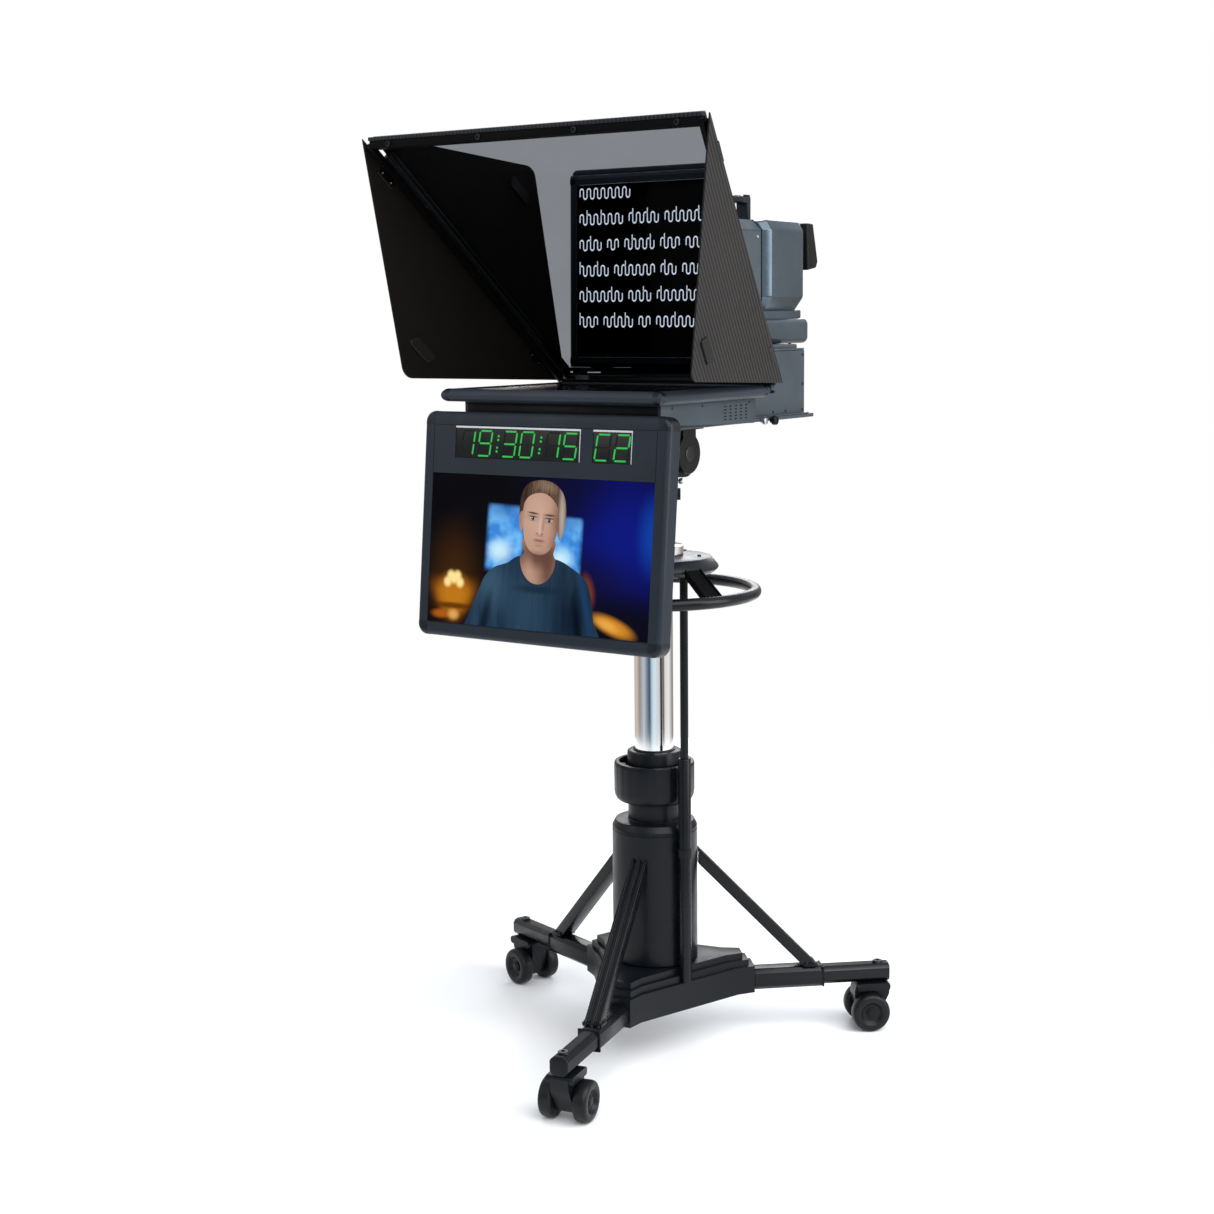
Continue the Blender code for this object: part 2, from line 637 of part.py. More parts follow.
def make_housing(tilt, look):
    """The wedge-shaped electronics box with vents in both sides and two lugs for the glass frame."""
    top = BEZEL_BOTTOM - GAP - TILT_HEIGHT
    rear_low = SLED_TOP + GAP - TILT_HEIGHT
    outline = [(HOUSING_FRONT, rear_low + HOUSING_RISE), (HOUSING_REAR, rear_low),
               (HOUSING_REAR, top), (HOUSING_FRONT, top)]
    housing = solid("prompter_housing",
                    prism_mesh(outline, lambda p, end: ((2 * end - 1) * HOUSING_HALF, p[0], p[1])),
                    look["shell"], tilt, smooth=False)
    combine(housing, solid("vents", vent_slots(rear_low), None, tilt, smooth=False), "DIFFERENCE")
    for side in (-1, 1):
        x0, x1 = sorted(side * edge for edge in LUG_SPAN)
        name = "left" if side < 0 else "right"
        helper_box(housing, (x0, HOUSING_REAR - 0.004, rear_low + 0.006),
                   (x1, LUG_REAR, top - 0.002), "UNION", "arm_" + name)
        helper_box(housing, (x0, BEZEL_REAR + 0.001, top - 0.012),
                   (x1, LUG_REAR, GLASS_PIVOT[1] - TILT_HEIGHT + 0.008), "UNION", "lug_" + name)


# ---------------------------------------------------------------- mirror glass and hood
def glass_half(along):
    """Half width of the glass at a distance up from its hinge."""
    return GLASS_FOOT_HALF + (GLASS_HEAD_HALF - GLASS_FOOT_HALF) * along / GLASS_LENGTH


def hinge_half(along):
    """Distance of a hood panel's hinge line from the middle, at a distance up the glass."""
    foot, turn, _, _, length = hood_frame(1)
    return foot.x + turn.col[2].x * along


def make_glass(glass, look):
    """The leaning mirror glass: local Z runs up the glass and local -Y faces the talent."""
    foot, head = 0.010, GLASS_LENGTH
    outline = [(-glass_half(foot), foot), (glass_half(foot), foot),
               (glass_half(head), head), (-glass_half(head), head)]
    solid("glass_pane", prism_mesh(outline, lambda p, end: (p[0], end * GLASS_THICK, p[1])),
          look["mirror"], glass, smooth=False)
    for side, name in ((-1, "left"), (1, "right")):
        head = BEAM_ALONG - 0.001
        bar = [(side * (glass_half(foot) - BAR_WIDTH), foot), (side * glass_half(foot), foot),
               (side * glass_half(head), head), (side * (glass_half(head) - BAR_WIDTH), head)]
        made = solid("glass_bar_" + name,
                     prism_mesh(bar, lambda p, end: (p[0], -GAP - end * BAR_DEPTH, p[1])),
                     look["black"], glass, smooth=False)
        for place, height in HOOD_HINGES:
            x0, x1 = sorted((side * (glass_half(height) - 0.004), side * (hinge_half(height) - 0.0050)))
            helper_box(made, (x0, -0.0070, height), (x1, -0.0020, height + HINGE_LENGTH), "UNION", place)
    bottom = solid("glass_bottom_bar", box_mesh((-GLASS_FOOT_HALF, -BAR_DEPTH, -0.0055),
                                                (GLASS_FOOT_HALF, GLASS_THICK, 0.010 - GAP)),
                   look["black"], glass, smooth=False)
    bevel(bottom, 0.002, 1)


def make_top_beam(glass, look):
    """The wedge-shaped beam across the head of the glass and the ribbed strip on top of it."""
    turn = math.radians(90 - GLASS_ANGLE)
    upright = empty("beam_frame", glass, (0, -GAP, BEAM_ALONG), (-turn, 0, 0))
    lean = math.tan(math.radians(90 - GLASS_ANGLE))

    def wedge(low, high, front):
        """Section between two heights, from a front face back to the glass."""
        return [(-low * lean - GAP, low), (front, low), (front, high), (-high * lean - GAP, high)]

    pieces = (("top_beam", wedge(0.0, BEAM_HEIGHT, -BEAM_DEPTH), BEAM_HALF, look["black"]),
              ("top_strip", wedge(BEAM_HEIGHT + GAP, BEAM_HEIGHT + STRIP_HEIGHT, -BEAM_DEPTH - 0.0015),
               BEAM_HALF + 0.002, look["carbon"]))
    for name, section, half, finish in pieces:
        solid(name, prism_mesh(section, lambda p, end: ((2 * end - 1) * half, p[0], p[1])),
              finish, upright, smooth=False)


def hood_frame(side):
    """Hinge foot, axes, and the flat corners of a hood panel.

    Z runs up the hinge line, X across the panel and Y through it."""
    top = Vector((side * HOOD_TOP[0], HOOD_TOP[1], HOOD_TOP[2]))
    front = Vector((side * HOOD_FRONT[0], HOOD_FRONT[1], HOOD_FRONT[2]))
    rear = Vector((side * HOOD_REAR[0], HOOD_REAR[1], HOOD_REAR[2]))
    foot = rear.lerp(front, HOOD_SETBACK)
    up = (top - foot).normalized()
    across = (front - foot) - up * (front - foot).dot(up)
    across.normalize()
    turn = Matrix((across, up.cross(across), up)).transposed()
    flat_rear = Vector(((rear - foot).dot(across), (rear - foot).dot(up)))
    flat_front = Vector(((front - foot).dot(across), (front - foot).dot(up)))
    return foot, turn, flat_rear, flat_front, (top - foot).length


def round_corner(before, corner, after, radius, steps):
    """Points of an arc that replaces a sharp corner of an outline."""
    first = (before - corner).normalized()
    second = (after - corner).normalized()
    half_angle = first.angle(second) / 2
    centre = corner + (first + second).normalized() * radius / math.sin(half_angle)
    start = corner + first * radius / math.tan(half_angle) - centre
    sweep = start.angle_signed(corner + second * radius / math.tan(half_angle) - centre)
    return [centre + Matrix.Rotation(-sweep * i / steps, 2) @ start for i in range(steps + 1)]


def make_hood(glass, look, side, name):
    """One side panel of the hood, hinged along the side of the glass, with its catch."""
    foot, turn, rear, front, length = hood_frame(side)
    place = turn.to_4x4()
    place.translation = foot + Vector((COLUMN_AXIS[0], COLUMN_AXIS[1], 0))
    hinge = empty("hood_" + name, glass)
    bpy.context.view_layer.update()
    hinge.matrix_local = glass.matrix_world.inverted() @ place
    top = Vector((0, length))
    outline = [rear] + round_corner(rear, front, top, HOOD_CORNER, 6) + [top]
    half = HOOD_THICK / 2
    panel = solid("hood_panel_" + name,
                  prism_mesh(outline, lambda p, end: (p[0], (2 * end - 1) * half, p[1])),
                  look["carbon"], hinge, smooth=False)
    for leaf, height in HOOD_HINGES:
        knuckle = turned_mesh([(0, height), (HINGE_KNUCKLE, height),
                               (HINGE_KNUCKLE, height + HINGE_LENGTH), (0, height + HINGE_LENGTH)], 12)
        combine(panel, solid(leaf + "_" + name, knuckle, None, hinge), "UNION")
    hole = catch_outline(front, 2 * GAP)
    cutter = solid("catch_hole_" + name,
                   prism_mesh(hole, lambda p, end: (p[0], (2 * end - 1) * CATCH_THICK, p[1])),
                   None, hinge, smooth=False)
    combine(panel, cutter, "DIFFERENCE")
    catch = solid("hood_catch_" + name,
                  prism_mesh(catch_outline(front, 0.0),
                             lambda p, end: (p[0], (end - 0.5) * CATCH_THICK, p[1])),
                  look["shell"], hinge, smooth=False)
    bevel(catch, 0.0012, 1)


def catch_outline(front, grow):
    """The narrow rounded catch near the panel's lower front corner, its long side up the hinge."""
    centre = front + Vector(CATCH_CENTRE)
    along = Vector(CATCH_ALONG)
    slant = Vector(CATCH_SLANT)
    along += along.normalized() * grow
    slant += slant.normalized() * grow
    corners = [centre - along - slant, centre + along - slant, centre + along + slant,
               centre - along + slant]
    points = []
    for index, corner in enumerate(corners):
        points += round_corner(corners[index - 1], corner, corners[(index + 1) % 4], CATCH_ROUND, 3)
    return points


# ---------------------------------------------------------------- talent monitor
def make_talent_monitor(talent, look):
    """The tilting monitor with clock and cue windows over its screen."""
    back = TALENT_FACE + TALENT_DEPTH
    outline = rounded_rectangle((-TALENT_HALF, TALENT_FOOT), (TALENT_HALF, TALENT_HEAD),
                                TALENT_CORNER, 5)
    frame = solid("talent_frame",
                  prism_mesh(outline, lambda p, end: (p[0], (TALENT_FACE, back)[end], p[1])),
                  look["shell"], talent)
    bevel(frame, 0.011, 3, 60)
    recess = 0.006
    width, height = SCREEN_SIZE
    pieces = (("talent_screen", (-width / 2, width / 2),
               (SCREEN_CENTRE - height / 2, SCREEN_CENTRE + height / 2), look["screen"]),
              ("clock_window", CLOCK_SPAN, (WINDOW_FOOT, WINDOW_HEAD), look["window"]),
              ("cue_window", CUE_SPAN, (WINDOW_FOOT, WINDOW_HEAD), look["window"]))
    for name, (left, right), (foot, head), finish in pieces:
        helper_box(frame, (left, TALENT_FACE - 0.010, foot), (right, TALENT_FACE + recess, head),
                   "DIFFERENCE", name)
        solid(name, box_mesh((left + GAP, TALENT_FACE + 0.0010, foot + GAP),
                             (right - GAP, TALENT_FACE + recess - GAP, head - GAP)),
              finish, talent, smooth=False)
    for side in (-1, 1):
        x0, x1 = sorted((side * 0.0610, side * 0.0760))
        helper_box(frame, (x0, back - 0.004, -0.012), (x1, 0.012, 0.012), "UNION",
                   "lug_" + ("left" if side < 0 else "right"))


def make_talent_bracket(tilt, look):
    """The angle under the sled that the talent monitor hangs from."""
    pivot_y, pivot_z = TALENT_PIVOT[0], TALENT_PIVOT[1] - TILT_HEIGHT
    top = PLATFORM_TOP - TILT_HEIGHT
    half = 0.060
    outline = [(pivot_y - 0.005, top), (pivot_y - 0.005, pivot_z)]
    outline += [(pivot_y + y, pivot_z + z) for y, z in arc((0, 0), 0.010, 180, 360, 8)]
    outline += [(pivot_y + 0.010, top - 0.008), (-0.200, top - 0.008), (-0.200, top)]
    solid("talent_bracket",
          prism_mesh(outline, lambda p, end: ((2 * end - 1) * half, p[0], p[1])),
          look["black"], tilt, smooth=False)


# ---------------------------------------------------------------- camera
def make_riser(tilt, look):
    """The box that lifts the camera to the height of the glass; it is open underneath."""
    low = SLED_TOP + GAP - TILT_HEIGHT
    high = RISER_TOP - TILT_HEIGHT
    wall = 0.004
    riser = solid("camera_riser",
                  box_mesh((-RISER_HALF, RISER_FRONT, low), (RISER_HALF, RISER_REAR, high)),
                  look["shell"], tilt, smooth=False)
    bevel(riser, 0.002, 1)
    helper_box(riser, (-RISER_HALF + wall, RISER_FRONT + wall, low - 0.010),
               (RISER_HALF - wall, RISER_REAR - wall, high - wall), "DIFFERENCE", "inside")


def make_camera(camera, look):
    """A broadcast camera: slab-sided front body, bulging rear shell and a rounded base."""
    foot = PLATE_TOP + GAP - TILT_HEIGHT
    body_low = CAMERA_LOW - TILT_HEIGHT
    top = CAMERA_TOP - TILT_HEIGHT
    shoulder = CAMERA_SHOULDER
    plate = solid("camera_plate", box_mesh((-PLATE_HALF, PLATE_SPAN[0], RISER_TOP + GAP - TILT_HEIGHT),
                                           (PLATE_HALF, PLATE_SPAN[1], PLATE_TOP - TILT_HEIGHT)),
                  look["panel"], camera, smooth=False)
    bevel(plate, 0.003, 2)
    front = [(-CAMERA_HALF, body_low), (CAMERA_HALF, body_low), (CAMERA_HALF, top - shoulder),
             (CAMERA_HALF - shoulder, top), (-CAMERA_HALF + shoulder, top), (-CAMERA_HALF, top - shoulder)]
    solid("camera_body",
          prism_mesh(front, lambda p, end: (p[0], (CAMERA_FRONT, CAMERA_SPLIT - GAP)[end], p[1])),
          look["panel"], camera, smooth=False)
    shell = solid("camera_rear_shell",
                  box_mesh((-SHELL_HALF, CAMERA_SPLIT, SHELL_BOTTOM - TILT_HEIGHT),
                           (SHELL_HALF, CAMERA_REAR, top)), look["shell"], camera)
    bevel(shell, 0.020, 4)
    base = solid("camera_base", box_mesh((-0.095, 0.160, foot), (0.095, 0.498, body_low - GAP)),
                 look["black"], camera)
    bevel(base, 0.016, 3)
    helper_box(base, (-0.080, 0.330, body_low - 0.010), (0.080, 0.485, SHELL_BOTTOM - GAP - TILT_HEIGHT),
               "UNION", "neck")
    make_handle(camera, look, top)


def make_handle(camera, look, top):
    """The carrying handle, a flat arch on two legs."""
    front, rear = HANDLE_SPAN
    leg = HANDLE_LEG
    high = HANDLE_TOP - TILT_HEIGHT
    under = high - HANDLE_THICK
    outline = [(front, top + GAP), (front + leg, top + GAP), (front + leg, under),
               (rear - leg, under), (rear - leg, top + GAP), (rear, top + GAP),
               (rear, high), (front - 0.020, high), (front - 0.020, high - 0.010)]
    handle = solid("camera_handle",
                   prism_mesh(outline, lambda p, end: ((end - 0.5) * HANDLE_WIDTH, p[0], p[1])),
                   look["black"], camera, smooth=False)
    bevel(handle, 0.002, 1)


def make_lens(camera, look):
    """The lens, turned about its own axis, with a focus ring in a waist of the barrel."""
    length = CAMERA_FRONT - GAP - LENS_FRONT
    waist = LENS_RADIUS - 0.006
    glass_depth = 0.012
    profile = [(0, 0), (0.036, 0), (0.036, 0.020), (waist, 0.024), (waist, length - 0.035),
               (LENS_RADIUS, length - 0.033), (LENS_RADIUS + 0.004, length - 0.002),
               (LENS_RADIUS + 0.004, length), (LENS_RADIUS - 0.002, length),
               (LENS_RADIUS - 0.006, length - glass_depth), (0, length - glass_depth + 0.004)]
    turn = (math.pi / 2, 0, 0)
    place = (0, CAMERA_FRONT - GAP, LENS_HEIGHT - TILT_HEIGHT)
    solid("lens_barrel", turned_mesh(profile), look["black"], camera, place, turn)
    bore = waist + 0.0006
    start, end = FOCUS_SPAN
    ring = [(bore, start), (LENS_RADIUS - 0.001, start), (LENS_RADIUS + 0.001, start + 0.003),
            (LENS_RADIUS + 0.001, end - 0.003), (LENS_RADIUS - 0.001, end), (bore, end)]
    solid("focus_ring", turned_mesh(ring, closed=True), look["rubber"], camera, place, turn)


def make_viewfinder(camera, look):
    """The viewfinder screen behind the camera, hinged along its top edge."""
    hinge_y, hinge_z = CAMERA_REAR + 0.0035, CAMERA_TOP - 0.002
    hinge = empty("viewfinder_hinge", camera, (0, hinge_y, hinge_z - TILT_HEIGHT))
    outline = [(0.0, 0.0), (0.029, 0.0), (0.052, -0.084), (0.045, -0.098), (0.004, -0.104)]
    screen = solid("viewfinder",
                   prism_mesh(outline, lambda p, end: ((2 * end - 1) * VIEWFINDER_HALF, p[0], p[1])),
                   look["black"], hinge, smooth=False)
    bevel(screen, 0.003, 2, 30)


# ---------------------------------------------------------------- the whole rig
def main():
    clear_scene()
    look = make_looks()
    rig = empty("rig", location=(COLUMN_AXIS[0], COLUMN_AXIS[1], 0))
    make_base(rig, look)
    for name, heading in zip(LEG_NAMES, LEG_HEADINGS):
        make_leg(rig, look, name, heading)
        make_brace(rig, look, name, heading)
        make_caster(rig, look, name, heading)
    make_pedestal_body(rig, look)
    make_lock_ring(rig, look)
    make_guide_collar(rig, look)
    make_guide_tube(rig, look)

    lift = empty("lift", rig)
    make_column(lift, look)
    make_control_ring(lift, look)

    pan = empty("pan", lift)
    make_pan_head(pan, look)
    knob_x, knob_y = heading_point(PAN_RADIUS + GAP, 0, PAN_KNOB_HEADING)
    make_knob("pan_brake_knob", look["steel"], pan, (knob_x, knob_y, PAN_KNOB_HEIGHT),
              (0, math.pi / 2, math.radians(PAN_KNOB_HEADING)), PAN_KNOB)

    tilt = empty("tilt", pan, (0, 0, TILT_HEIGHT))
    make_tilt_platform(tilt, look)
    cheek_face = HEAD_HALF + CHEEK_GAP + CHEEK + GAP
    make_knob("tilt_brake_knob", look["black"], tilt, (-cheek_face, 0, 0),
              (0, -math.pi / 2, 0), TILT_KNOB)
    make_sled(tilt, look)
    knob_height = SLED_TOP - SLED_KNOB_DROP - TILT_HEIGHT
    make_knob("sled_release_knob", look["steel"], tilt, (SLED_HALF + GAP, RELEASE_AT, knob_height),
              (0, math.pi / 2, 0), RELEASE_KNOB)
    make_knob("sled_lock_knob", look["black"], tilt, (SLED_HALF + GAP, LOCK_AT, knob_height),
              (0, math.pi / 2, 0), LOCK_KNOB)
    make_prompter(tilt, look)
    make_housing(tilt, look)

    glass = empty("glass", tilt, (0, GLASS_PIVOT[0], GLASS_PIVOT[1] - TILT_HEIGHT),
                  (math.radians(90 - GLASS_ANGLE), 0, 0))
    make_glass(glass, look)
    make_top_beam(glass, look)
    make_hood(glass, look, -1, "left")
    make_hood(glass, look, 1, "right")

    talent = empty("talent", tilt, (0, TALENT_PIVOT[0], TALENT_PIVOT[1] - TILT_HEIGHT),
                   (math.radians(-TALENT_LEAN), 0, 0))
    make_talent_monitor(talent, look)
    make_talent_bracket(tilt, look)

    make_riser(tilt, look)
    camera = empty("camera", tilt)
    make_camera(camera, look)
    make_lens(camera, look)
    make_viewfinder(camera, look)


main()
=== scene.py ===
"""Studio teleprompter: finished surfaces, small hardware and displays over the CAD frame.

Everything is in metres in the CAD frame: +Z up, the talent stands on the -Y side.
"""
import json
import math

import bmesh
import bpy
from mathutils import Matrix, Vector

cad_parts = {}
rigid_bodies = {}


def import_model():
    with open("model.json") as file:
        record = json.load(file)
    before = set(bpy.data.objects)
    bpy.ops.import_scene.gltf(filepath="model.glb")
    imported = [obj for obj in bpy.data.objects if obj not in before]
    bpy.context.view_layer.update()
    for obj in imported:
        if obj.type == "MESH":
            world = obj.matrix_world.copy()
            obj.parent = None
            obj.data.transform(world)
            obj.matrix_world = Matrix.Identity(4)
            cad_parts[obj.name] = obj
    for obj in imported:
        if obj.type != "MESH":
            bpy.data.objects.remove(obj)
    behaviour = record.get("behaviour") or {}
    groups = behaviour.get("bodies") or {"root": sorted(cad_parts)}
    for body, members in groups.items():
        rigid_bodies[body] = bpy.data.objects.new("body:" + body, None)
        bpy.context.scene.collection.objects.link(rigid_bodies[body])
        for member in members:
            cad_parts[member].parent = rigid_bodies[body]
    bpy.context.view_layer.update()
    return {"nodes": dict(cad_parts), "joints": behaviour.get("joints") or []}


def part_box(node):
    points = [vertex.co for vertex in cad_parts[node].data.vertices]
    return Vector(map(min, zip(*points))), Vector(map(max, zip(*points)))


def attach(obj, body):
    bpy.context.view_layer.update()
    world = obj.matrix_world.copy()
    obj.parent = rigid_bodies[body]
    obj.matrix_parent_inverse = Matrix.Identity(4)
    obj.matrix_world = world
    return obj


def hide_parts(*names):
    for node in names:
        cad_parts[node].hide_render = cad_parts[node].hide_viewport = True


for startup_object in list(bpy.data.objects):
    bpy.data.objects.remove(startup_object)
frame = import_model()
NODES = frame["nodes"]
JOINTS = {joint["name"]: joint for joint in frame["joints"]}

# ---------------------------------------------------------------- places shared with the CAD
COLUMN = Vector((0.043, -0.02, 0.0))       # foot of the column's axis
LEGS = {"right": 41.6, "rear": 161.6, "front": -78.4}       # headings in degrees
GUIDE_HEADING, GUIDE_RADIUS = -21.7, 0.1097
HUB_BOTTOM, HUB_TOP, HUB_RADIUS = 1.0295, 1.066, 0.139
RING_HEIGHT, RING_RADIUS, RING_TUBE = 0.988, 0.2165, 0.0125
TILT_HEIGHT = 1.281
SLED_TOP = 1.3468
BEZEL = {"half": 0.2625, "front": -0.3725, "rear": 0.038, "low": 1.399, "high": 1.424, "rim": 0.0215}
GLASS_TURN = 44.4                           # the glass frame leans this much from upright
GLASS_LENGTH = 0.684
GLASS_HALVES = (0.262, 0.386)
HOOD_TOP = (0.403, -0.428, 1.917)
HOOD_FRONT = (0.34, -0.393, 1.445)
HOOD_REAR = (0.27, 0.073, 1.4265)
HOOD_SETBACK = 0.047
HOOD_HINGES = (0.06, 0.585)
TALENT_LEAN = 5.7
TALENT = {"half": 0.2925, "foot": -0.3248, "head": 0.1252, "face": -0.0657, "depth": 0.045, "corner": 0.022}
SCREEN = {"half": 0.2657, "middle": -0.1473, "rise": 0.14945}
CLOCK = (-0.211, 0.093)
CUE = (0.121, 0.2117)
WINDOWS = (0.0335, 0.097)


# ---------------------------------------------------------------- node materials
class Nodes:
    """Short ways of adding nodes to a tree."""

    def __init__(self, tree, coordinates):
        self.tree = tree
        self.place = self.node("ShaderNodeTexCoord").outputs[coordinates]

    def node(self, kind, **settings):
        made = self.tree.nodes.new(kind)
        for key, value in settings.items():
            setattr(made, key, value)
        return made

    def feed(self, socket, value):
        """Link a socket, or set its constant."""
        if isinstance(value, bpy.types.NodeSocket):
            self.tree.links.new(value, socket)
        elif isinstance(value, (tuple, list)) and len(value) == 3 and socket.type == "RGBA":
            socket.default_value = (*value, 1.0)
        else:
            socket.default_value = value

    def math(self, operation, a, b=0.0, c=0.0):
        made = self.node("ShaderNodeMath", operation=operation)
        for socket, value in zip(made.inputs, (a, b, c)):
            self.feed(socket, value)
        return made.outputs[0]

    def noise(self, scale, detail=3.0, rough=0.5, place=None):
        made = self.node("ShaderNodeTexNoise")
        self.feed(made.inputs["Vector"], place or self.place)
        self.feed(made.inputs["Scale"], scale)
        self.feed(made.inputs["Detail"], detail)
        self.feed(made.inputs["Roughness"], rough)
        return made.outputs["Fac"]

    def mapped(self, scale, centre=(0.0, 0.0, 0.0), angle=0.0, kind="POINT"):
        """The coordinates moved, turned about Z and scaled along each axis."""
        made = self.node("ShaderNodeMapping", vector_type=kind)
        self.feed(made.inputs["Vector"], self.place)
        made.inputs["Location"].default_value = centre
        made.inputs["Rotation"].default_value = (0.0, 0.0, math.radians(angle))
        made.inputs["Scale"].default_value = scale
        return made.outputs[0]

    def span(self, value, low, high, start=0.0, end=1.0, smooth=False):
        """Map low..high to start..end."""
        made = self.node("ShaderNodeMapRange")
        if smooth:
            made.interpolation_type = "SMOOTHSTEP"
        for socket, item in zip(made.inputs, (value, low, high, start, end)):
            self.feed(socket, item)
        return made.outputs[0]

    def mix(self, factor, a, b):
        made = self.node("ShaderNodeMix", data_type="RGBA")
        self.feed(made.inputs["Factor"], factor)
        self.feed(made.inputs[6], a)
        self.feed(made.inputs[7], b)
        return made.outputs[2]

    def ramp(self, value, stops):
        """A colour ramp over a value, from a list of (position, colour)."""
        made = self.node("ShaderNodeValToRGB")
        self.feed(made.inputs[0], value)
        points = made.color_ramp.elements
        while len(points) > 1:
            points.remove(points[0])
        points[0].position = stops[0][0]
        points[0].color = (*stops[0][1], 1.0)
        for position, colour in stops[1:]:
            points.new(position).color = (*colour, 1.0)
        return made.outputs[0]


class Look(Nodes):
    """A node material under construction, with one Principled shader."""

    def __init__(self, name):
        self.material = bpy.data.materials.new(name)
        self.material.use_nodes = True
        super().__init__(self.material.node_tree, "Object")
        self.shader = self.tree.nodes["Principled BSDF"]

    def set(self, **values):
        for key, value in values.items():
            self.feed(self.shader.inputs[key.replace("_", " ").title().replace("Ior", "IOR")], value)

    def bump(self, height, distance, strength=1.0):
        made = self.node("ShaderNodeBump")
        self.feed(made.inputs["Strength"], strength)
        self.feed(made.inputs["Distance"], distance)
        self.feed(made.inputs["Height"], height)
        self.feed(self.shader.inputs["Normal"], made.outputs[0])


def shade(colour, factor):
    return tuple(min(channel * factor, 1.0) for channel in colour)


def finish(name, colour, roughness, metallic=0.0, mottle=0.14, patch=7.0, grain=700.0, depth=0.00004,
           spread=0.05, specular=0.3):
    """Paint or moulded plastic: faint colour patches, uneven gloss and a fine surface grain."""
    look = Look(name)
    look.set(metallic=metallic, specular_ior_level=specular)
    patches = look.noise(patch, 4.0)
    look.set(base_color=look.mix(look.span(patches, 0.3, 0.7), shade(colour, 1 - mottle),
                                 shade(colour, 1 + mottle)))
    gloss = look.noise(patch * 4.1, 3.0)
    look.set(roughness=look.span(gloss, 0.3, 0.7, roughness - spread, roughness + spread))
    look.bump(look.noise(grain, 2.0), depth)
    return look.material


def polished(name, colour, roughness, streak=(60.0, 60.0, 1.5)):
    """Bright metal with faint polishing streaks."""
    look = Look(name)
    streaks = look.noise(1.0, 4.0, 0.6, look.mapped(streak))
    look.set(metallic=1.0)
    look.set(base_color=look.mix(look.span(streaks, 0.3, 0.7), shade(colour, 0.93), shade(colour, 1.05)))
    look.set(roughness=look.span(streaks, 0.25, 0.75, roughness, roughness + 0.05))
    look.bump(look.noise(900.0, 2.0), 0.000004)
    return look.material


def ribbed(name, pitch, axis, low, high, roughness):
    """Composite sheet with fine ribs along one direction's normal and a twill weave between them; its colour
    is painted darker in the rib grooves and lighter on the crests, as painted shade and highlight.
    """
    look = Look(name)
    across = look.node("ShaderNodeVectorMath", operation="DOT_PRODUCT")
    look.feed(across.inputs[0], look.place)
    across.inputs[1].default_value = axis
    phase = look.math("MULTIPLY", across.outputs["Value"], math.tau / pitch)
    rib = look.span(look.math("SINE", phase), -0.75, 0.75, smooth=True)
    weave = look.node("ShaderNodeTexWave", wave_type="BANDS", bands_direction="DIAGONAL")
    look.feed(weave.inputs["Vector"], look.place)
    look.feed(weave.inputs["Scale"], 260.0)
    thread = look.span(weave.outputs["Fac"], 0.2, 0.8)
    ridge = look.math("MULTIPLY_ADD", thread, 0.22, rib)
    cloud = look.noise(5.0, 3.0)
    # painted shade in the rib grooves and painted highlight on the crests, following the rib height
    rib_light_and_shade = look.mix(look.math("MULTIPLY", ridge, 0.82), low, high)
    look.set(base_color=look.mix(look.span(cloud, 0.3, 0.7, 0.0, 0.18), rib_light_and_shade, shade(high, 1.25)))
    look.set(roughness=look.span(ridge, 0.0, 1.2, roughness + 0.1, roughness - 0.04), specular_ior_level=0.22)
    look.bump(ridge, 0.00035, 0.8)
    return look.material


def tinted_mirror(name, colour):
    """Half-silvered glass: a grey mirror with faint dust and coating clouds."""
    look = Look(name)
    clouds = look.noise(6.0, 5.0, 0.55)
    dust = look.span(look.noise(420.0, 1.0), 0.68, 0.8)
    look.set(metallic=1.0)
    look.set(base_color=look.mix(look.span(clouds, 0.3, 0.7), shade(colour, 0.96), shade(colour, 1.04)))
    look.set(roughness=look.span(dust, 0.0, 1.0, 0.012, 0.09))
    return look.material


def lens_glass(name):
    """Coated front element: dark, with a violet and green sheen painted into its colour."""
    look = Look(name)
    facing = look.node("ShaderNodeLayerWeight")
    facing.inputs["Blend"].default_value = 0.35
    # painted sheen: the colour turns violet as the surface turns away, by its facing angle
    painted_sheen = look.mix(facing.outputs["Facing"], (0.01, 0.004, 0.02), (0.03, 0.02, 0.08))
    look.set(base_color=look.mix(look.span(look.noise(30.0), 0.4, 0.6), painted_sheen, (0.004, 0.016, 0.014)))
    look.set(roughness=0.03, coat_weight=1.0, coat_roughness=0.02)
    return look.material


def glowing(name, colour, strength, patch=90.0):
    """A lit display element, brightest in the middle of each patch."""
    look = Look(name)
    level = look.span(look.noise(patch, 2.0), 0.3, 0.7)
    light = look.mix(level, shade(colour, 0.82), colour)
    look.set(base_color=shade(colour, 0.2), roughness=0.4, emission_strength=strength)
    look.set(emission_color=light)
    return look.material


def rubber(name, colour):
    """Dull rubber with a dry, dusty surface."""
    look = Look(name)
    dust = look.span(look.noise(35.0, 5.0, 0.65), 0.45, 0.75)
    look.set(base_color=look.mix(dust, colour, shade(colour, 1.5)), specular_ior_level=0.25)
    look.set(roughness=look.span(dust, 0.0, 1.0, 0.36, 0.52))
    look.bump(look.noise(1100.0, 2.0), 0.00005)
    return look.material


# ---------------------------------------------------------------- mesh helpers
def rounded(low, high, radius, steps=6):
    """Corners of a rounded rectangle in the plane."""
    (x0, y0), (x1, y1) = low, high
    corners = ((x1 - radius, y1 - radius, 0), (x0 + radius, y1 - radius, 90),
               (x0 + radius, y0 + radius, 180), (x1 - radius, y0 + radius, 270))
    points = []
    for x, y, start in corners:
        for i in range(steps + 1):
            angle = math.radians(start + 90 * i / steps)
            points.append((x + radius * math.cos(angle), y + radius * math.sin(angle)))
    return points


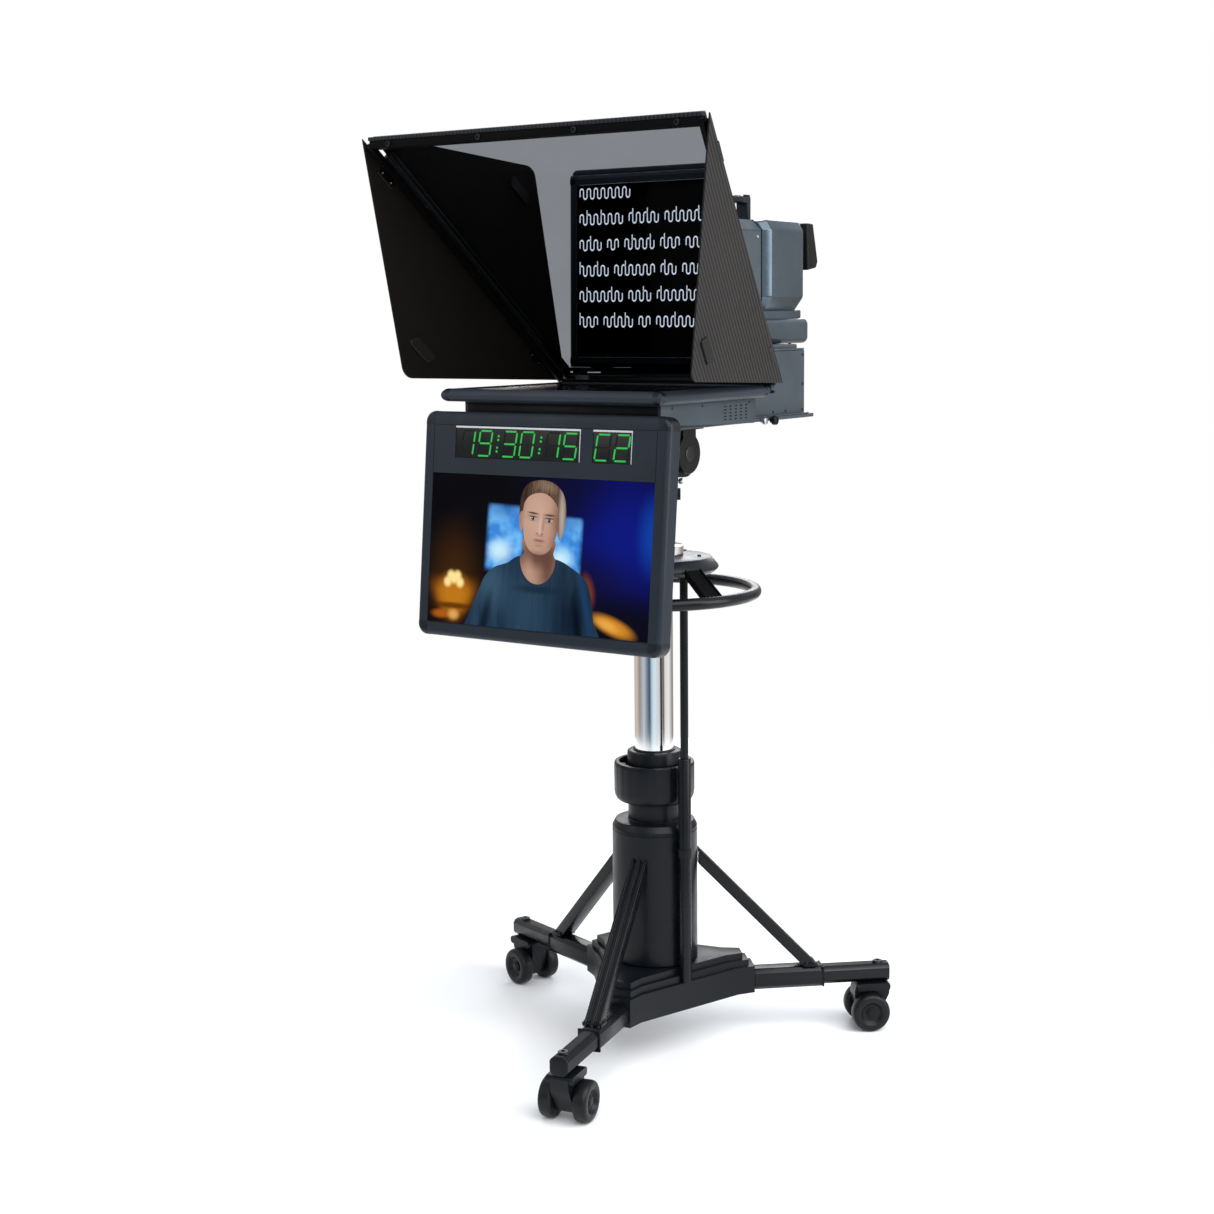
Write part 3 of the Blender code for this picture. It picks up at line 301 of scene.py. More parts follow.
def loft(rings):
    """Skin between rings of equal length, closed at both ends."""
    bm = bmesh.new()
    rows = [[bm.verts.new(point) for point in ring] for ring in rings]
    count = len(rows[0])
    for lower, upper in zip(rows, rows[1:]):
        for i in range(count):
            j = (i + 1) % count
            bm.faces.new((lower[i], lower[j], upper[j], upper[i]))
    bm.faces.new(list(reversed(rows[0])))
    bm.faces.new(rows[-1])
    return bm


def prism(outline, place):
    """Loft one outline between the positions place(point, 0) and place(point, 1)."""
    return loft([[place(point, end) for point in outline] for end in (0, 1)])


def slab(outline, start, end):
    """An outline in X and Z, pushed out along Y."""
    return prism(outline, lambda point, at: (point[0], (start, end)[at], point[1]))


def box(low, high):
    bm = bmesh.new()
    bmesh.ops.create_cube(bm, size=1.0)
    size = Vector(high) - Vector(low)
    bmesh.ops.scale(bm, vec=size, verts=bm.verts)
    bmesh.ops.translate(bm, vec=(Vector(high) + Vector(low)) / 2, verts=bm.verts)
    return bm


def turned(profile, sides=72, closed=False):
    """A profile of (radius, height) points turned about Z."""
    bm = bmesh.new()
    points = [bm.verts.new((radius, 0.0, height)) for radius, height in profile]
    edges = [bm.edges.new(pair) for pair in zip(points, points[1:])]
    if closed:
        edges.append(bm.edges.new((points[-1], points[0])))
    bmesh.ops.spin(bm, geom=points + edges, cent=(0, 0, 0), axis=(0, 0, 1), angle=math.tau,
                   steps=sides, use_merge=True)
    bmesh.ops.remove_doubles(bm, verts=bm.verts, dist=1e-6)
    return bm


def join(*parts):
    """Put several meshes into one, without merging their surfaces."""
    whole = bmesh.new()
    for part in parts:
        holder = bpy.data.meshes.new("part")
        part.to_mesh(holder)
        part.free()
        whole.from_mesh(holder)
        bpy.data.meshes.remove(holder)
    return whole


def moved(bm, matrix):
    bmesh.ops.transform(bm, matrix=matrix, verts=bm.verts)
    return bm


def soften(bm, width, segments=3, angle=35):
    """Round every edge that is sharper than an angle."""
    sharp = [e for e in bm.edges if len(e.link_faces) == 2 and e.calc_face_angle() > math.radians(angle)]
    bmesh.ops.bevel(bm, geom=sharp, offset=width, segments=segments, profile=0.5, affect="EDGES",
                    clamp_overlap=True, loop_slide=False)
    return bm


def cuboid(low, high, width, segments=3, angle=35):
    """A box with rounded edges."""
    return soften(box(low, high), width, segments, angle)


def mesh_of(name, bm):
    mesh = bpy.data.meshes.new(name)
    bm.to_mesh(mesh)
    bm.free()
    return mesh


def placed(name, data, place=None):
    """An object in the scene that shows a mesh, a light or a camera."""
    made = bpy.data.objects.new(name, data)
    bpy.context.scene.collection.objects.link(made)
    if place is not None:
        made.matrix_world = place
    return made


def piece(name, bm, look, body, place=None, replaces=(), angle=35):
    """Turn a mesh into a finished piece that rides on a CAD body."""
    if place is not None:
        moved(bm, place)
    bmesh.ops.recalc_face_normals(bm, faces=bm.faces)
    mesh = mesh_of(name, bm)
    for one in look if isinstance(look, tuple) else (look,):
        mesh.materials.append(one)
    mesh.shade_smooth()
    mesh.set_sharp_from_angle(angle=math.radians(angle))
    made = placed(name, mesh)
    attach(made, body)
    if replaces:
        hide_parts(*replaces)
    return made


def refined(node, look, body, width, segments=3, angle=28):
    """A CAD node's own shape with its edges rounded."""
    bm = bmesh.new()
    bm.from_mesh(NODES[node].data)
    bmesh.ops.remove_doubles(bm, verts=bm.verts, dist=2e-6)
    bmesh.ops.dissolve_limit(bm, angle_limit=math.radians(1.0), verts=bm.verts, edges=bm.edges)
    soften(bm, width, segments, angle)
    return piece(node + "_finished", bm, look, body, replaces=(node,))


def cut(made, tool, operation="DIFFERENCE", overlapping=False):
    """Cut a helper out of a piece and apply it."""
    step = made.modifiers.new("cut", "BOOLEAN")
    step.operation = operation
    step.solver = "EXACT"
    step.use_self = overlapping
    step.object = tool
    bpy.context.view_layer.update()
    graph = bpy.context.evaluated_depsgraph_get()
    result = bpy.data.meshes.new_from_object(made.evaluated_get(graph))
    made.modifiers.remove(step)
    made.data = result
    bpy.data.objects.remove(tool)


def helper(bm, place=None):
    bmesh.ops.recalc_face_normals(bm, faces=bm.faces)
    return placed("helper", mesh_of("helper", bm), place)


def fluted(bm, least, depth_at):
    """Draw in what lies beyond a radius, by a depth given for each vertex and its angle about Z."""
    for vert in bm.verts:
        distance = math.hypot(vert.co.x, vert.co.y)
        if distance > least:
            dip = depth_at(vert, math.atan2(vert.co.y, vert.co.x))
            vert.co.x *= 1 - dip / distance
            vert.co.y *= 1 - dip / distance
    return bm


def socket_screw(radius, height):
    """A cap screw along +Z with a six-sided socket."""
    sides = 24
    hexagon = []
    for i in range(sides):
        angle = math.tau * i / sides
        flat = math.cos(math.pi / 6) / math.cos((angle % (math.pi / 3)) - math.pi / 6)
        hexagon.append((radius * 0.5 * flat * math.cos(angle), radius * 0.5 * flat * math.sin(angle)))
    circle = [(math.cos(math.tau * i / sides), math.sin(math.tau * i / sides)) for i in range(sides)]
    rings = [[(radius * x, radius * y, 0) for x, y in circle],
             [(radius * x, radius * y, height * 0.75) for x, y in circle],
             [(radius * 0.85 * x, radius * 0.85 * y, height) for x, y in circle],
             [(x, y, height) for x, y in hexagon],
             [(x, y, height * 0.35) for x, y in hexagon]]
    return loft(rings)


def screw_set(name, spots, radius, height, look, body, place=None):
    """Several screws as one piece; each spot is (position, outward direction)."""
    parts = []
    for position, outward in spots:
        turn = Vector(outward).to_track_quat("Z", "Y").to_matrix().to_4x4()
        turn.translation = Vector(position)
        parts.append(moved(socket_screw(radius, height), turn))
    return piece(name, join(*parts), look, body, place)


def frame_at(origin, rotation=(0, 0, 0)):
    turn = Matrix.Rotation(math.radians(rotation[2]), 4, "Z")
    turn = turn @ Matrix.Rotation(math.radians(rotation[1]), 4, "Y")
    turn = turn @ Matrix.Rotation(math.radians(rotation[0]), 4, "X")
    turn.translation = Vector(origin)
    return turn


def joint_frame(name, rotation=(0, 0, 0)):
    """A local frame at a joint's position."""
    return frame_at(JOINTS[name]["pos_m"], rotation)


def polar(radius, degrees, height=0.0):
    """A point at a radius and heading from the column's axis."""
    angle = math.radians(degrees)
    return COLUMN + Vector((radius * math.cos(angle), radius * math.sin(angle), height))


AT_COLUMN = frame_at(COLUMN)
AT_GUIDE = frame_at(polar(GUIDE_RADIUS, GUIDE_HEADING))


# ---------------------------------------------------------------- the finishes
CAST = finish("cast_paint", (0.0034, 0.0045, 0.0062), 0.34, specular=0.2, grain=420.0, depth=0.00004)
TUBE = finish("tube_paint", (0.0028, 0.0036, 0.005), 0.27, specular=0.24, grain=600.0, depth=0.000015)
BLACK = finish("satin_black_paint", (0.0024, 0.0026, 0.003), 0.36, specular=0.2)
FLAT_BLACK = finish("flat_black_paint", (0.0013, 0.0013, 0.0015), 0.6, specular=0.08)
BEZEL_PAINT = finish("prompter_bezel_paint", (0.027, 0.035, 0.048), 0.4, specular=0.25, grain=900.0,
                     depth=0.00003)
SLATE = finish("slate_shell_paint", (0.0115, 0.017, 0.025), 0.42, specular=0.25, grain=900.0, depth=0.00003)
CAP = finish("corner_cap_plastic", (0.0055, 0.008, 0.0115), 0.36, specular=0.25, grain=1100.0, depth=0.00003)
SHEET = finish("slate_sheet_paint", (0.05, 0.064, 0.077), 0.42, 0.2, grain=800.0, depth=0.00004)
PANEL = finish("camera_panel_paint", (0.06, 0.078, 0.091), 0.36, 0.2, grain=1000.0, depth=0.00003)
SHELL = finish("camera_shell_paint", (0.085, 0.112, 0.137), 0.22, 0.75, grain=1300.0, depth=0.0000004,
               spread=0.02)
GLOSS_BLACK = finish("gloss_black_plastic", (0.003, 0.003, 0.0035), 0.14, grain=1500.0, depth=0.00001)
HUB = finish("hub_paint", (0.0065, 0.0085, 0.011), 0.34, specular=0.25, grain=500.0, depth=0.00002)
CHROME = polished("polished_chrome", (0.86, 0.87, 0.88), 0.05)
STEEL = polished("turned_steel", (0.58, 0.6, 0.63), 0.2, (400.0, 400.0, 400.0))
DARK_STEEL = polished("blackened_steel", (0.045, 0.046, 0.05), 0.34, (300.0, 300.0, 300.0))
TREAD = rubber("caster_tread", (0.003, 0.0034, 0.0042))
GRIP = rubber("grip_rubber", (0.004, 0.004, 0.0044))
MIRROR = tinted_mirror("mirror_coating", (0.173, 0.18, 0.19))
RIB_PITCH = 0.0106
# the dark and light colours are the painted shade of the rib grooves and the painted highlight of the crests
STRIP = ribbed("ribbed_strip", 0.009, (1.0, 0.0, 0.0), (0.004, 0.005, 0.006), (0.02, 0.024, 0.028), 0.4)
INNER = finish("hood_lining", (0.0078, 0.006, 0.0048), 0.62, mottle=0.25, patch=3.0, grain=500.0,
               depth=0.00005, specular=0.12)
PRESSED = finish("panel_glass_black", (0.0018, 0.0018, 0.0022), 0.09, grain=1500.0, depth=0.000004)
LIT_WHITE = glowing("prompter_white", (0.8, 0.88, 1.0), 4.4)
LIT_GREEN = glowing("digit_green", (0.01, 0.5, 0.055), 0.85)
DIM_GREEN = finish("digit_unlit", (0.003, 0.0042, 0.0034), 0.35, specular=0.2)
CATCH = finish("catch_rubber", (0.008, 0.0078, 0.0076), 0.45, grain=900.0, depth=0.00003)
LENS = lens_glass("lens_coating")


# ---------------------------------------------------------------- dolly
def wheel_mesh():
    """A wheel with a rounded tread, a dished face and a hub cap; its outer face looks along +Z."""
    rim, half = 0.0419, 0.0149
    profile = [(0, half - 0.005), (0.0095, half - 0.005), (0.0115, half - 0.0058), (0.0118, half - 0.0085),
               (0.019, half - 0.0085), (0.0205, half - 0.0075), (0.0245, half - 0.0012),
               (0.0262, half - 0.0002), (0.0325, half), (0.0368, half - 0.0008), (0.04, half - 0.003),
               (rim - 0.0006, half - 0.0058), (rim, half - 0.009), (rim, 0.0), (rim, -half + 0.006),
               (rim - 0.001, -half + 0.003), (rim - 0.004, -half + 0.0006), (0.034, -half),
               (0.015, -half), (0.0, -half)]
    return turned(profile, 64)


def caster_hood_mesh():
    """The rounded shroud between the wheels, thicker at its crown."""
    outline = [(-0.052, 0.0985), (-0.0555, 0.088), (-0.056, 0.074), (-0.053, 0.056), (-0.047, 0.033),
               (-0.038, 0.019), (-0.025, 0.015), (-0.013, 0.018), (-0.003, 0.029), (0.006, 0.046),
               (0.015, 0.061), (0.022, 0.076), (0.024, 0.0985)]
    return slab(outline, -0.02, 0.02)


def build_casters():
    for name, heading in LEGS.items():
        swivel = frame_at(JOINTS["swivel_" + name]["pos_m"], (0, 0, heading))
        floor_frame = swivel.copy()
        floor_frame.translation.z = 0.0
        crown = slab(rounded((-0.0505, 0.0863), (0.0225, 0.1031), 0.006, 4), -0.0285, 0.0285)
        hood = join(soften(caster_hood_mesh(), 0.0025, 3, 25), soften(crown, 0.003, 3, 40))
        piece("caster_hood_" + name, hood, CAST, "caster_" + name, floor_frame,
              ("caster_fork_" + name,))
        for side, sign in (("a", 1), ("b", -1)):
            key = name + "_" + side
            hub = frame_at(JOINTS["roll_" + key]["pos_m"], (-90 * sign, 0, heading))
            piece("caster_wheel_" + key, wheel_mesh(), TREAD, "wheel_" + key, hub,
                  ("wheel_" + key,), 40)
            cap = [(0.0, 0.0125), (0.006, 0.0124), (0.0086, 0.0116), (0.0094, 0.0099), (0.0, 0.0099)]
            piece("caster_cap_" + key, turned(cap, 40), BLACK, "wheel_" + key, hub)


def build_dolly():
    refined("base_casting", CAST, "dolly", 0.0022, 3, 20)
    for name, heading in LEGS.items():
        refined("leg_" + name, TUBE, "dolly", 0.0018, 2, 28)
        refined("brace_" + name, TUBE, "dolly", 0.0007, 2, 40)
        build_leg_details(name, heading)
    profile = [(0, 0.1865), (0.089, 0.1865), (0.0915, 0.189), (0.0915, 0.4722), (0.0898, 0.4735),
               (0.0898, 0.476), (0.0915, 0.4773), (0.0915, 0.48), (0.0905, 0.4828), (0.0845, 0.4936),
               (0.083, 0.494), (0.0585, 0.494), (0.057, 0.4955), (0.057, 0.5295), (0.05, 0.5295),
               (0.05, 0.6), (0.0425, 0.6), (0.0425, 0.1985), (0, 0.1985)]
    piece("pedestal_shell", turned(profile, 96), CAST, "dolly",
          AT_COLUMN, ("pedestal_body",), 30)
    collar = [(0.0425, 0.6003), (0.058, 0.6003), (0.058, 0.6415), (0.0568, 0.644), (0.054, 0.6455),
              (0.0445, 0.6455), (0.0425, 0.644)]
    piece("gland_collar", turned(collar, 72, True), CAST, "dolly",
          AT_COLUMN, ("guide_collar",), 30)
    wiper = [(0.0418, 0.6456), (0.0455, 0.6456), (0.045, 0.648), (0.0428, 0.649), (0.0418, 0.6484)]
    piece("gland_wiper", turned(wiper, 64, True), GRIP, "dolly", AT_COLUMN)
    tube = [(0, 0.1583), (0.0135, 0.1583), (0.0135, 0.6425), (0.0128, 0.644), (0.0115, 0.645),
            (0.01, 0.645), (0.0091, 0.6438), (0.0091, 0.169), (0, 0.169)]
    piece("guide_tube_finished", turned(tube, 40), TUBE, "dolly",
          AT_GUIDE, ("guide_tube",), 30)
    strap = [(0.0137, 0.43), (0.016, 0.4302), (0.0163, 0.432), (0.0163, 0.448), (0.016, 0.4498),
             (0.0137, 0.45)]
    piece("guide_strap", turned(strap, 40, True), BLACK, "dolly", AT_GUIDE)
    build_lock_ring()


def build_leg_details(name, heading):
    """Clamp block with bolts at the brace's foot, an end plug, and the caster's stem nut."""
    local = frame_at(COLUMN, (0, 0, heading))
    block = cuboid((0.326, -0.0215, 0.1473), (0.356, 0.0215, 0.1545), 0.0016, 2)
    lip = cuboid((0.3665, -0.025, 0.101), (0.3715, 0.025, 0.1462), 0.004, 3)
    plug = cuboid((0.519, -0.0165, 0.107), (0.5203, 0.0165, 0.14), 0.0006, 2)
    piece("brace_foot_" + name, join(block, lip, plug), BLACK, "dolly", local)
    spots = [((x, side * 0.0165, 0.154), (0, 0, 1)) for x in (0.333, 0.349) for side in (-1, 1)]
    screw_set("brace_bolts_" + name, spots, 0.0036, 0.0034, DARK_STEEL, "dolly", local)
    screw_set("stem_nut_" + name, [((0.497, 0.0, 0.1434), (0, 0, 1))], 0.011, 0.0046, DARK_STEEL,
              "dolly", local)


def build_lock_ring():
    """The grip ring, with shallow finger flutes all round."""
    profile = [(0.0506, 0.53), (0.0568, 0.53), (0.0568, 0.536), (0.072, 0.5362), (0.0775, 0.5378),
               (0.0815, 0.5412), (0.0848, 0.548), (0.0865, 0.558), (0.0865, 0.612), (0.0862, 0.618),
               (0.085, 0.6202), (0.083, 0.621), (0.0765, 0.621), (0.0755, 0.62), (0.0755, 0.597),
               (0.0506, 0.596)]
    grip = fluted(turned(profile, 144, True), 0.0855, lambda vert, angle: (
        0.0008 * max(0.0, math.cos(angle * 24)) ** 2 if 0.548 < vert.co.z < 0.619 else 0.0))
    piece("lock_ring_grip", grip, CAST, "lock_ring", AT_COLUMN,
          ("height_lock_ring",), 30)
    pin = cuboid((0.061, -0.003, 0.5975), (0.074, 0.003, 0.616), 0.001, 2)
    piece("lock_ring_pin", pin, DARK_STEEL, "lock_ring",
          frame_at(COLUMN, (0, 0, -140)))


# ---------------------------------------------------------------- lifting column
def build_column():
    tube = [(0.0375, 0.505), (0.0415, 0.505), (0.0415, 1.0292), (0.0375, 1.0292)]
    piece("chrome_column", turned(tube, 96, True), CHROME, "column", AT_COLUMN,
          ("column_tube",), 30)
    disc = [(0, HUB_BOTTOM), (0.127, HUB_BOTTOM), (0.133, HUB_BOTTOM + 0.004), (0.1375, HUB_BOTTOM + 0.0085),
            (0.1388, HUB_BOTTOM + 0.0105), (HUB_RADIUS, HUB_BOTTOM + 0.0125), (0.1378, HUB_BOTTOM + 0.015),
            (0.123, HUB_TOP - 0.0042), (0.1195, HUB_TOP - 0.003), (0.07, HUB_TOP), (0, HUB_TOP)]
    piece("hub_shell", turned(disc, 96), HUB, "column", AT_COLUMN, ("hub_disc",), 40)
    spots = [(polar(0.1, 20 + 60 * i, HUB_TOP - 0.0024), (0, 0, 1)) for i in range(6)]
    screw_set("hub_screws", spots, 0.0042, 0.0036, DARK_STEEL, "column")
    collar = [(0, 1.0663), (0.0638, 1.0663), (0.065, 1.0675), (0.065, 1.0845), (0.0645, 1.0858),
              (0.0632, 1.0865), (0, 1.0865)]
    piece("chrome_collar_finished", turned(collar, 80), CHROME, "column", AT_COLUMN,
          ("chrome_collar",), 30)
    post = [(0, 1.0868), (0.0456, 1.0868), (0.0456, 1.168), (0.0464, 1.1694), (0.0496, 1.171),
            (0.0496, 1.179), (0, 1.179)]
    piece("upper_post_finished", turned(post, 72), TUBE, "column", AT_COLUMN,
          ("upper_post",), 30)
    build_ring()


def build_ring():
    """The control ring with flat channel spokes that rise onto the hub's rim."""
    bm = bmesh.new()
    around = 14
    section = []
    for i in range(around):
        angle = math.tau * i / around
        section.append(bm.verts.new((RING_RADIUS + RING_TUBE * math.cos(angle), 0,
                                     RING_HEIGHT + RING_TUBE * math.sin(angle))))
    edges = [bm.edges.new((section[i], section[(i + 1) % around])) for i in range(around)]
    bmesh.ops.spin(bm, geom=section + edges, cent=(0, 0, 0), axis=(0, 0, 1), angle=math.tau,
                   steps=112, use_merge=True)
    bmesh.ops.remove_doubles(bm, verts=bm.verts, dist=1e-6)
    piece("control_ring_tube", bm, TUBE, "column", AT_COLUMN, ("control_ring",), 50)
    side_view = [(0.1405, 1.0455), (0.1405, 1.0315), (0.2125, 0.9815), (0.2205, 0.9935)]
    for index in range(3):
        plate = slab(side_view, -0.0198, 0.0198)
        rails = [slab([(x + 0.001, z + 0.003) for x, z in side_view], side * 0.0198 - 0.0024 * (side > 0),
                      side * 0.0198 + 0.0024 * (side < 0)) for side in (-1, 1)]
        whole = join(soften(plate, 0.0008, 2), *[soften(rail, 0.0008, 2) for rail in rails])
        piece("ring_spoke_%d" % index, whole, FLAT_BLACK, "column",
              frame_at(COLUMN, (0, 0, GUIDE_HEADING + 120 * index)))
    rod = [(0, 0.475), (0.008, 0.475), (0.0085, 0.4755), (0.0085, 1.0292), (0, 1.0292)]
    piece("guide_rod_finished", turned(rod, 32), TUBE, "column", AT_GUIDE, ("guide_rod",), 30)


# ---------------------------------------------------------------- pan and tilt head
def knurled_knob(radius, length, flutes, depth):
    """A turned knob along +Z with a waist and flutes round its grip."""
    profile = [(0, 0), (radius * 0.6, 0), (radius * 0.6, length * 0.24), (radius * 0.94, length * 0.32),
               (radius, length * 0.38), (radius, length * 0.86), (radius * 0.95, length * 0.93),
               (radius * 0.8, length * 0.99), (radius * 0.45, length * 0.99), (radius * 0.42, length * 0.93),
               (0, length * 0.93)]
    return fluted(turned(profile, flutes * 4), radius * 0.93,
                  lambda vert, angle: depth * max(0.0, math.cos(angle * flutes)))


def build_head():
    refined("pan_head", BLACK, "pan", 0.0018, 3, 30)
    refined("tilt_platform", BLACK, "tilt", 0.0012, 2, 30)
    base = Vector(JOINTS["pan_brake_turn"]["pos_m"])
    axis = Vector(JOINTS["pan_brake_turn"]["axis"])
    start = base - axis * 0.0047
    turn = axis.to_track_quat("Z", "Y").to_matrix().to_4x4()
    turn.translation = start
    piece("pan_brake_grip", knurled_knob(0.0062, 0.011, 14, 0.0004), STEEL, "pan_brake",
          turn, ("pan_brake_knob",), 50)
    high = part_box("tilt_brake_knob")[1]
    turn = frame_at((high.x, COLUMN.y, TILT_HEIGHT), (0, -90, 0))
    piece("tilt_brake_grip", knurled_knob(0.02, 0.024, 16, 0.0012), BLACK, "tilt_brake",
          turn, ("tilt_brake_knob",), 50)
    hub = [(0, 0), (0.016, 0), (0.016, 0.0008), (0.014, 0.0016), (0.0, 0.0016)]
    turn = frame_at((COLUMN.x + 0.093, COLUMN.y, TILT_HEIGHT), (0, 90, 0))
    piece("tilt_pivot_cap", turned(hub, 48), DARK_STEEL, "tilt", turn)
    spots = [(COLUMN + Vector((x, y, 1.3303)), (0, 0, -1)) for x in (-0.07, 0.07) for y in (-0.033, 0.044)]
    screw_set("platform_screws", spots, 0.0045, 0.004, DARK_STEEL, "tilt")
    block = cuboid((0.048, -0.008, 1.181), (0.059, 0.008, 1.206), 0.0014, 2)
    piece("pan_brake_block", block, TUBE, "pan", frame_at(COLUMN, (0, 0, 33)))
    band = [(0.0528, 1.196), (0.0534, 1.1964), (0.0534, 1.2036), (0.0528, 1.204)]
    piece("pan_scale_ring", turned(band, 72, True), SHEET, "pan", AT_COLUMN)


# ---------------------------------------------------------------- sled and camera riser
def build_sled():
    refined("sled_plate", SHEET, "sled", 0.0012, 2, 40)
    refined("talent_bracket", BLACK, "sled", 0.0012, 2, 40)
    refined("camera_riser", SHEET, "sled", 0.0016, 3, 40)
    for name, look, slot, radius, length in (("sled_release", STEEL, "turned_steel", 0.0075, 0.013),
                                             ("sled_lock", BLACK, "satin_black", 0.01, 0.015)):
        low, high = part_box(name + "_knob")
        turn = frame_at((low.x, (low.y + high.y) / 2, (low.z + high.z) / 2), (0, 90, 0))
        piece(name + "_grip", knurled_knob(radius, length, 14, 0.0005), look, name, turn,
              (name + "_knob",), 50)
    low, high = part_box("camera_riser")
    spots = []
    for side, x in ((-1, low.x), (1, high.x)):
        for y, z in ((0.245, 1.356), (0.376, 1.356), (0.245, 1.412), (0.376, 1.412), (0.376, 1.476),
                     (0.3, 1.356), (0.12, 1.476)):
            spots.append(((x, y, z), (side, 0, 0)))
    screw_set("riser_screws", spots, 0.003, 0.0012, DARK_STEEL, "sled")
    flanges = []
    for side in (-1, 1):
        edge = COLUMN.x + side * 0.1402
        x0, x1 = sorted((edge, edge + side * 0.0095))
        flanges.append(cuboid((x0, low.y + 0.004, SLED_TOP + 0.0002), (x1, high.y + 0.002, SLED_TOP + 0.0026),
                              0.0006, 2))
    piece("riser_flanges", join(*flanges), SHEET, "sled")
    rails = []
    for side in (-1, 1):
        x0, x1 = sorted((COLUMN.x + side * 0.1265, COLUMN.x + side * 0.1395))
        rails.append(cuboid((x0, 0.108, 1.4867), (x1, 0.385, 1.4905), 0.0008, 2))
    piece("riser_rails", join(*rails), PANEL, "sled")


# ---------------------------------------------------------------- prompter monitor
def corner_caps(half_x, y0, y1, z0, z1, reach, radius):
    """Four rounded blocks that wrap the corners of a flat rectangular frame lying in X and Y."""
    blocks = []
    for x, inner_x in ((-half_x, -half_x + reach), (half_x, half_x - reach)):
        for y, inner_y in ((y0, y0 + reach), (y1, y1 - reach)):
            xs, ys = sorted((x, inner_x)), sorted((y, inner_y))
            blocks.append(cuboid((xs[0], ys[0], z0), (xs[1], ys[1], z1), radius, 5))
    return join(*blocks)


def bezel_ring():
    """Bullnose frame of the prompter monitor, swept round its rectangle."""
    rim, height = BEZEL["rim"], BEZEL["high"] - BEZEL["low"]
    half = height / 2
    section = [(rim, height), (0.009, height)]
    for i in range(1, 12):
        angle = math.radians(90 + 180 * i / 12)
        section.append((half * 0.92 + half * 0.92 * math.cos(angle), half + half * math.sin(angle)))
    section += [(0.009, 0.0), (rim, 0.0)]
    corners = ((-1, -1), (1, -1), (1, 1), (-1, 1))
    rings = []
    for sx, sy in corners:
        x = sx * BEZEL["half"]
        y = BEZEL["front"] if sy < 0 else BEZEL["rear"]
        ring = [(x - sx * inward, y - sy * inward, BEZEL["low"] + up) for inward, up in section]
        rings.append(ring)
    bm = bmesh.new()
    rows = [[bm.verts.new(point) for point in ring] for ring in rings]
    count = len(section)
    for k in range(4):
        lower, upper = rows[k], rows[(k + 1) % 4]
        for i in range(count):
            j = (i + 1) % count
            bm.faces.new((lower[i], lower[j], upper[j], upper[i]))
    return bm


def build_prompter():
    place = AT_COLUMN
    inner = BEZEL["half"] - BEZEL["rim"]
    y0, y1 = BEZEL["front"] + BEZEL["rim"], BEZEL["rear"] - BEZEL["rim"]
    floor = box((-inner, y0, BEZEL["low"] + 0.0002), (inner, y1, BEZEL["low"] + 0.0078))
    piece("prompter_frame", join(bezel_ring(), floor), BEZEL_PAINT, "sled", place,
          ("prompter_bezel",), 25)
    caps = corner_caps(BEZEL["half"] - 0.0004, BEZEL["front"] + 0.0004, BEZEL["rear"] - 0.0004,
                       BEZEL["low"] + 0.0004, BEZEL["high"] + 0.0005, 0.026, 0.0095)
    piece("prompter_corners", caps, CAP, "sled", place)
    build_script(place, inner - 0.0005, y0 + 0.0005, y1 - 0.0005)
    seals = [cuboid((-0.26, 0.0384, 1.406), (0.26, 0.0468, 1.4295), 0.001, 2)]
    for x0, x1 in ((-0.26, -0.2235), (-0.186, 0.186), (0.2235, 0.26)):
        seals.append(cuboid((x0, 0.0384, 1.406), (x1, 0.06, 1.412), 0.001, 2))
    piece("glass_light_seal", join(*seals), FLAT_BLACK, "sled", place)
    housing = refined("prompter_housing", SHEET, "sled", 0.0009, 2, 40)
    housing.name = "prompter_electronics"
    low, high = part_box("prompter_housing")
    seam = join(cuboid((COLUMN.x - 0.235, low.y + 0.001, 1.3735), (COLUMN.x + 0.235, low.y + 0.0022, 1.3745),
                       0.0002, 1),
                cuboid((COLUMN.x - 0.228, low.y - 0.0002, 1.364), (COLUMN.x + 0.228, low.y + 0.0016, 1.3955),
                       0.001, 2))
    piece("housing_front_cover", seam, BLACK, "sled")
    spots = []
    for side, x in ((-1, low.x), (1, high.x)):
        for y in (-0.31, -0.2, -0.02):
            spots.append(((x, y, 1.39), (side, 0, 0)))
    screw_set("housing_screws", spots, 0.0026, 0.001, DARK_STEEL, "sled")


def wave_word(count, ascenders, x, base, low, high):
    """One word of a script as a continuous rounded wave with a few taller strokes."""
    rise, stroke, step, turn = 0.0215, 0.0032, 0.0092, 6
    radius = step / 2
    centre = []
    for i in range(count):
        at = x + i * step
        up = i % 2 == 0
        ends = (base - radius, base - rise + radius) if up else (base - rise + radius, base - radius)
        centre.append((at, ends[0]))
        if i == count - 1:
            centre.append((at, ends[1]))
            continue
        for k in range(turn + 1):
            angle = math.pi * (1 - k / turn)
            lift = -math.sin(angle) * radius if up else math.sin(angle) * radius
            centre.append((at + radius + radius * math.cos(angle), ends[1] + lift))
    left, right = [], []
    for i, point in enumerate(centre):
        before, after = Vector(centre[max(i - 1, 0)]), Vector(centre[min(i + 1, len(centre) - 1)])
        along = (after - before).normalized()
        side = Vector((-along.y, along.x)) * stroke / 2
        left.append(Vector(point) + side)
        right.append(Vector(point) - side)
    parts = [prism([tuple(p) for p in left + right[::-1]], lambda p, end: (p[0], p[1], (low, high)[end]))]
    for i in ascenders:
        at = x + i * step
        parts.append(box((at - stroke * 0.48, base - rise * 1.42, low),
                         (at + stroke * 0.48, base - rise * 0.5, high)))
    return parts, x + (count - 1) * step


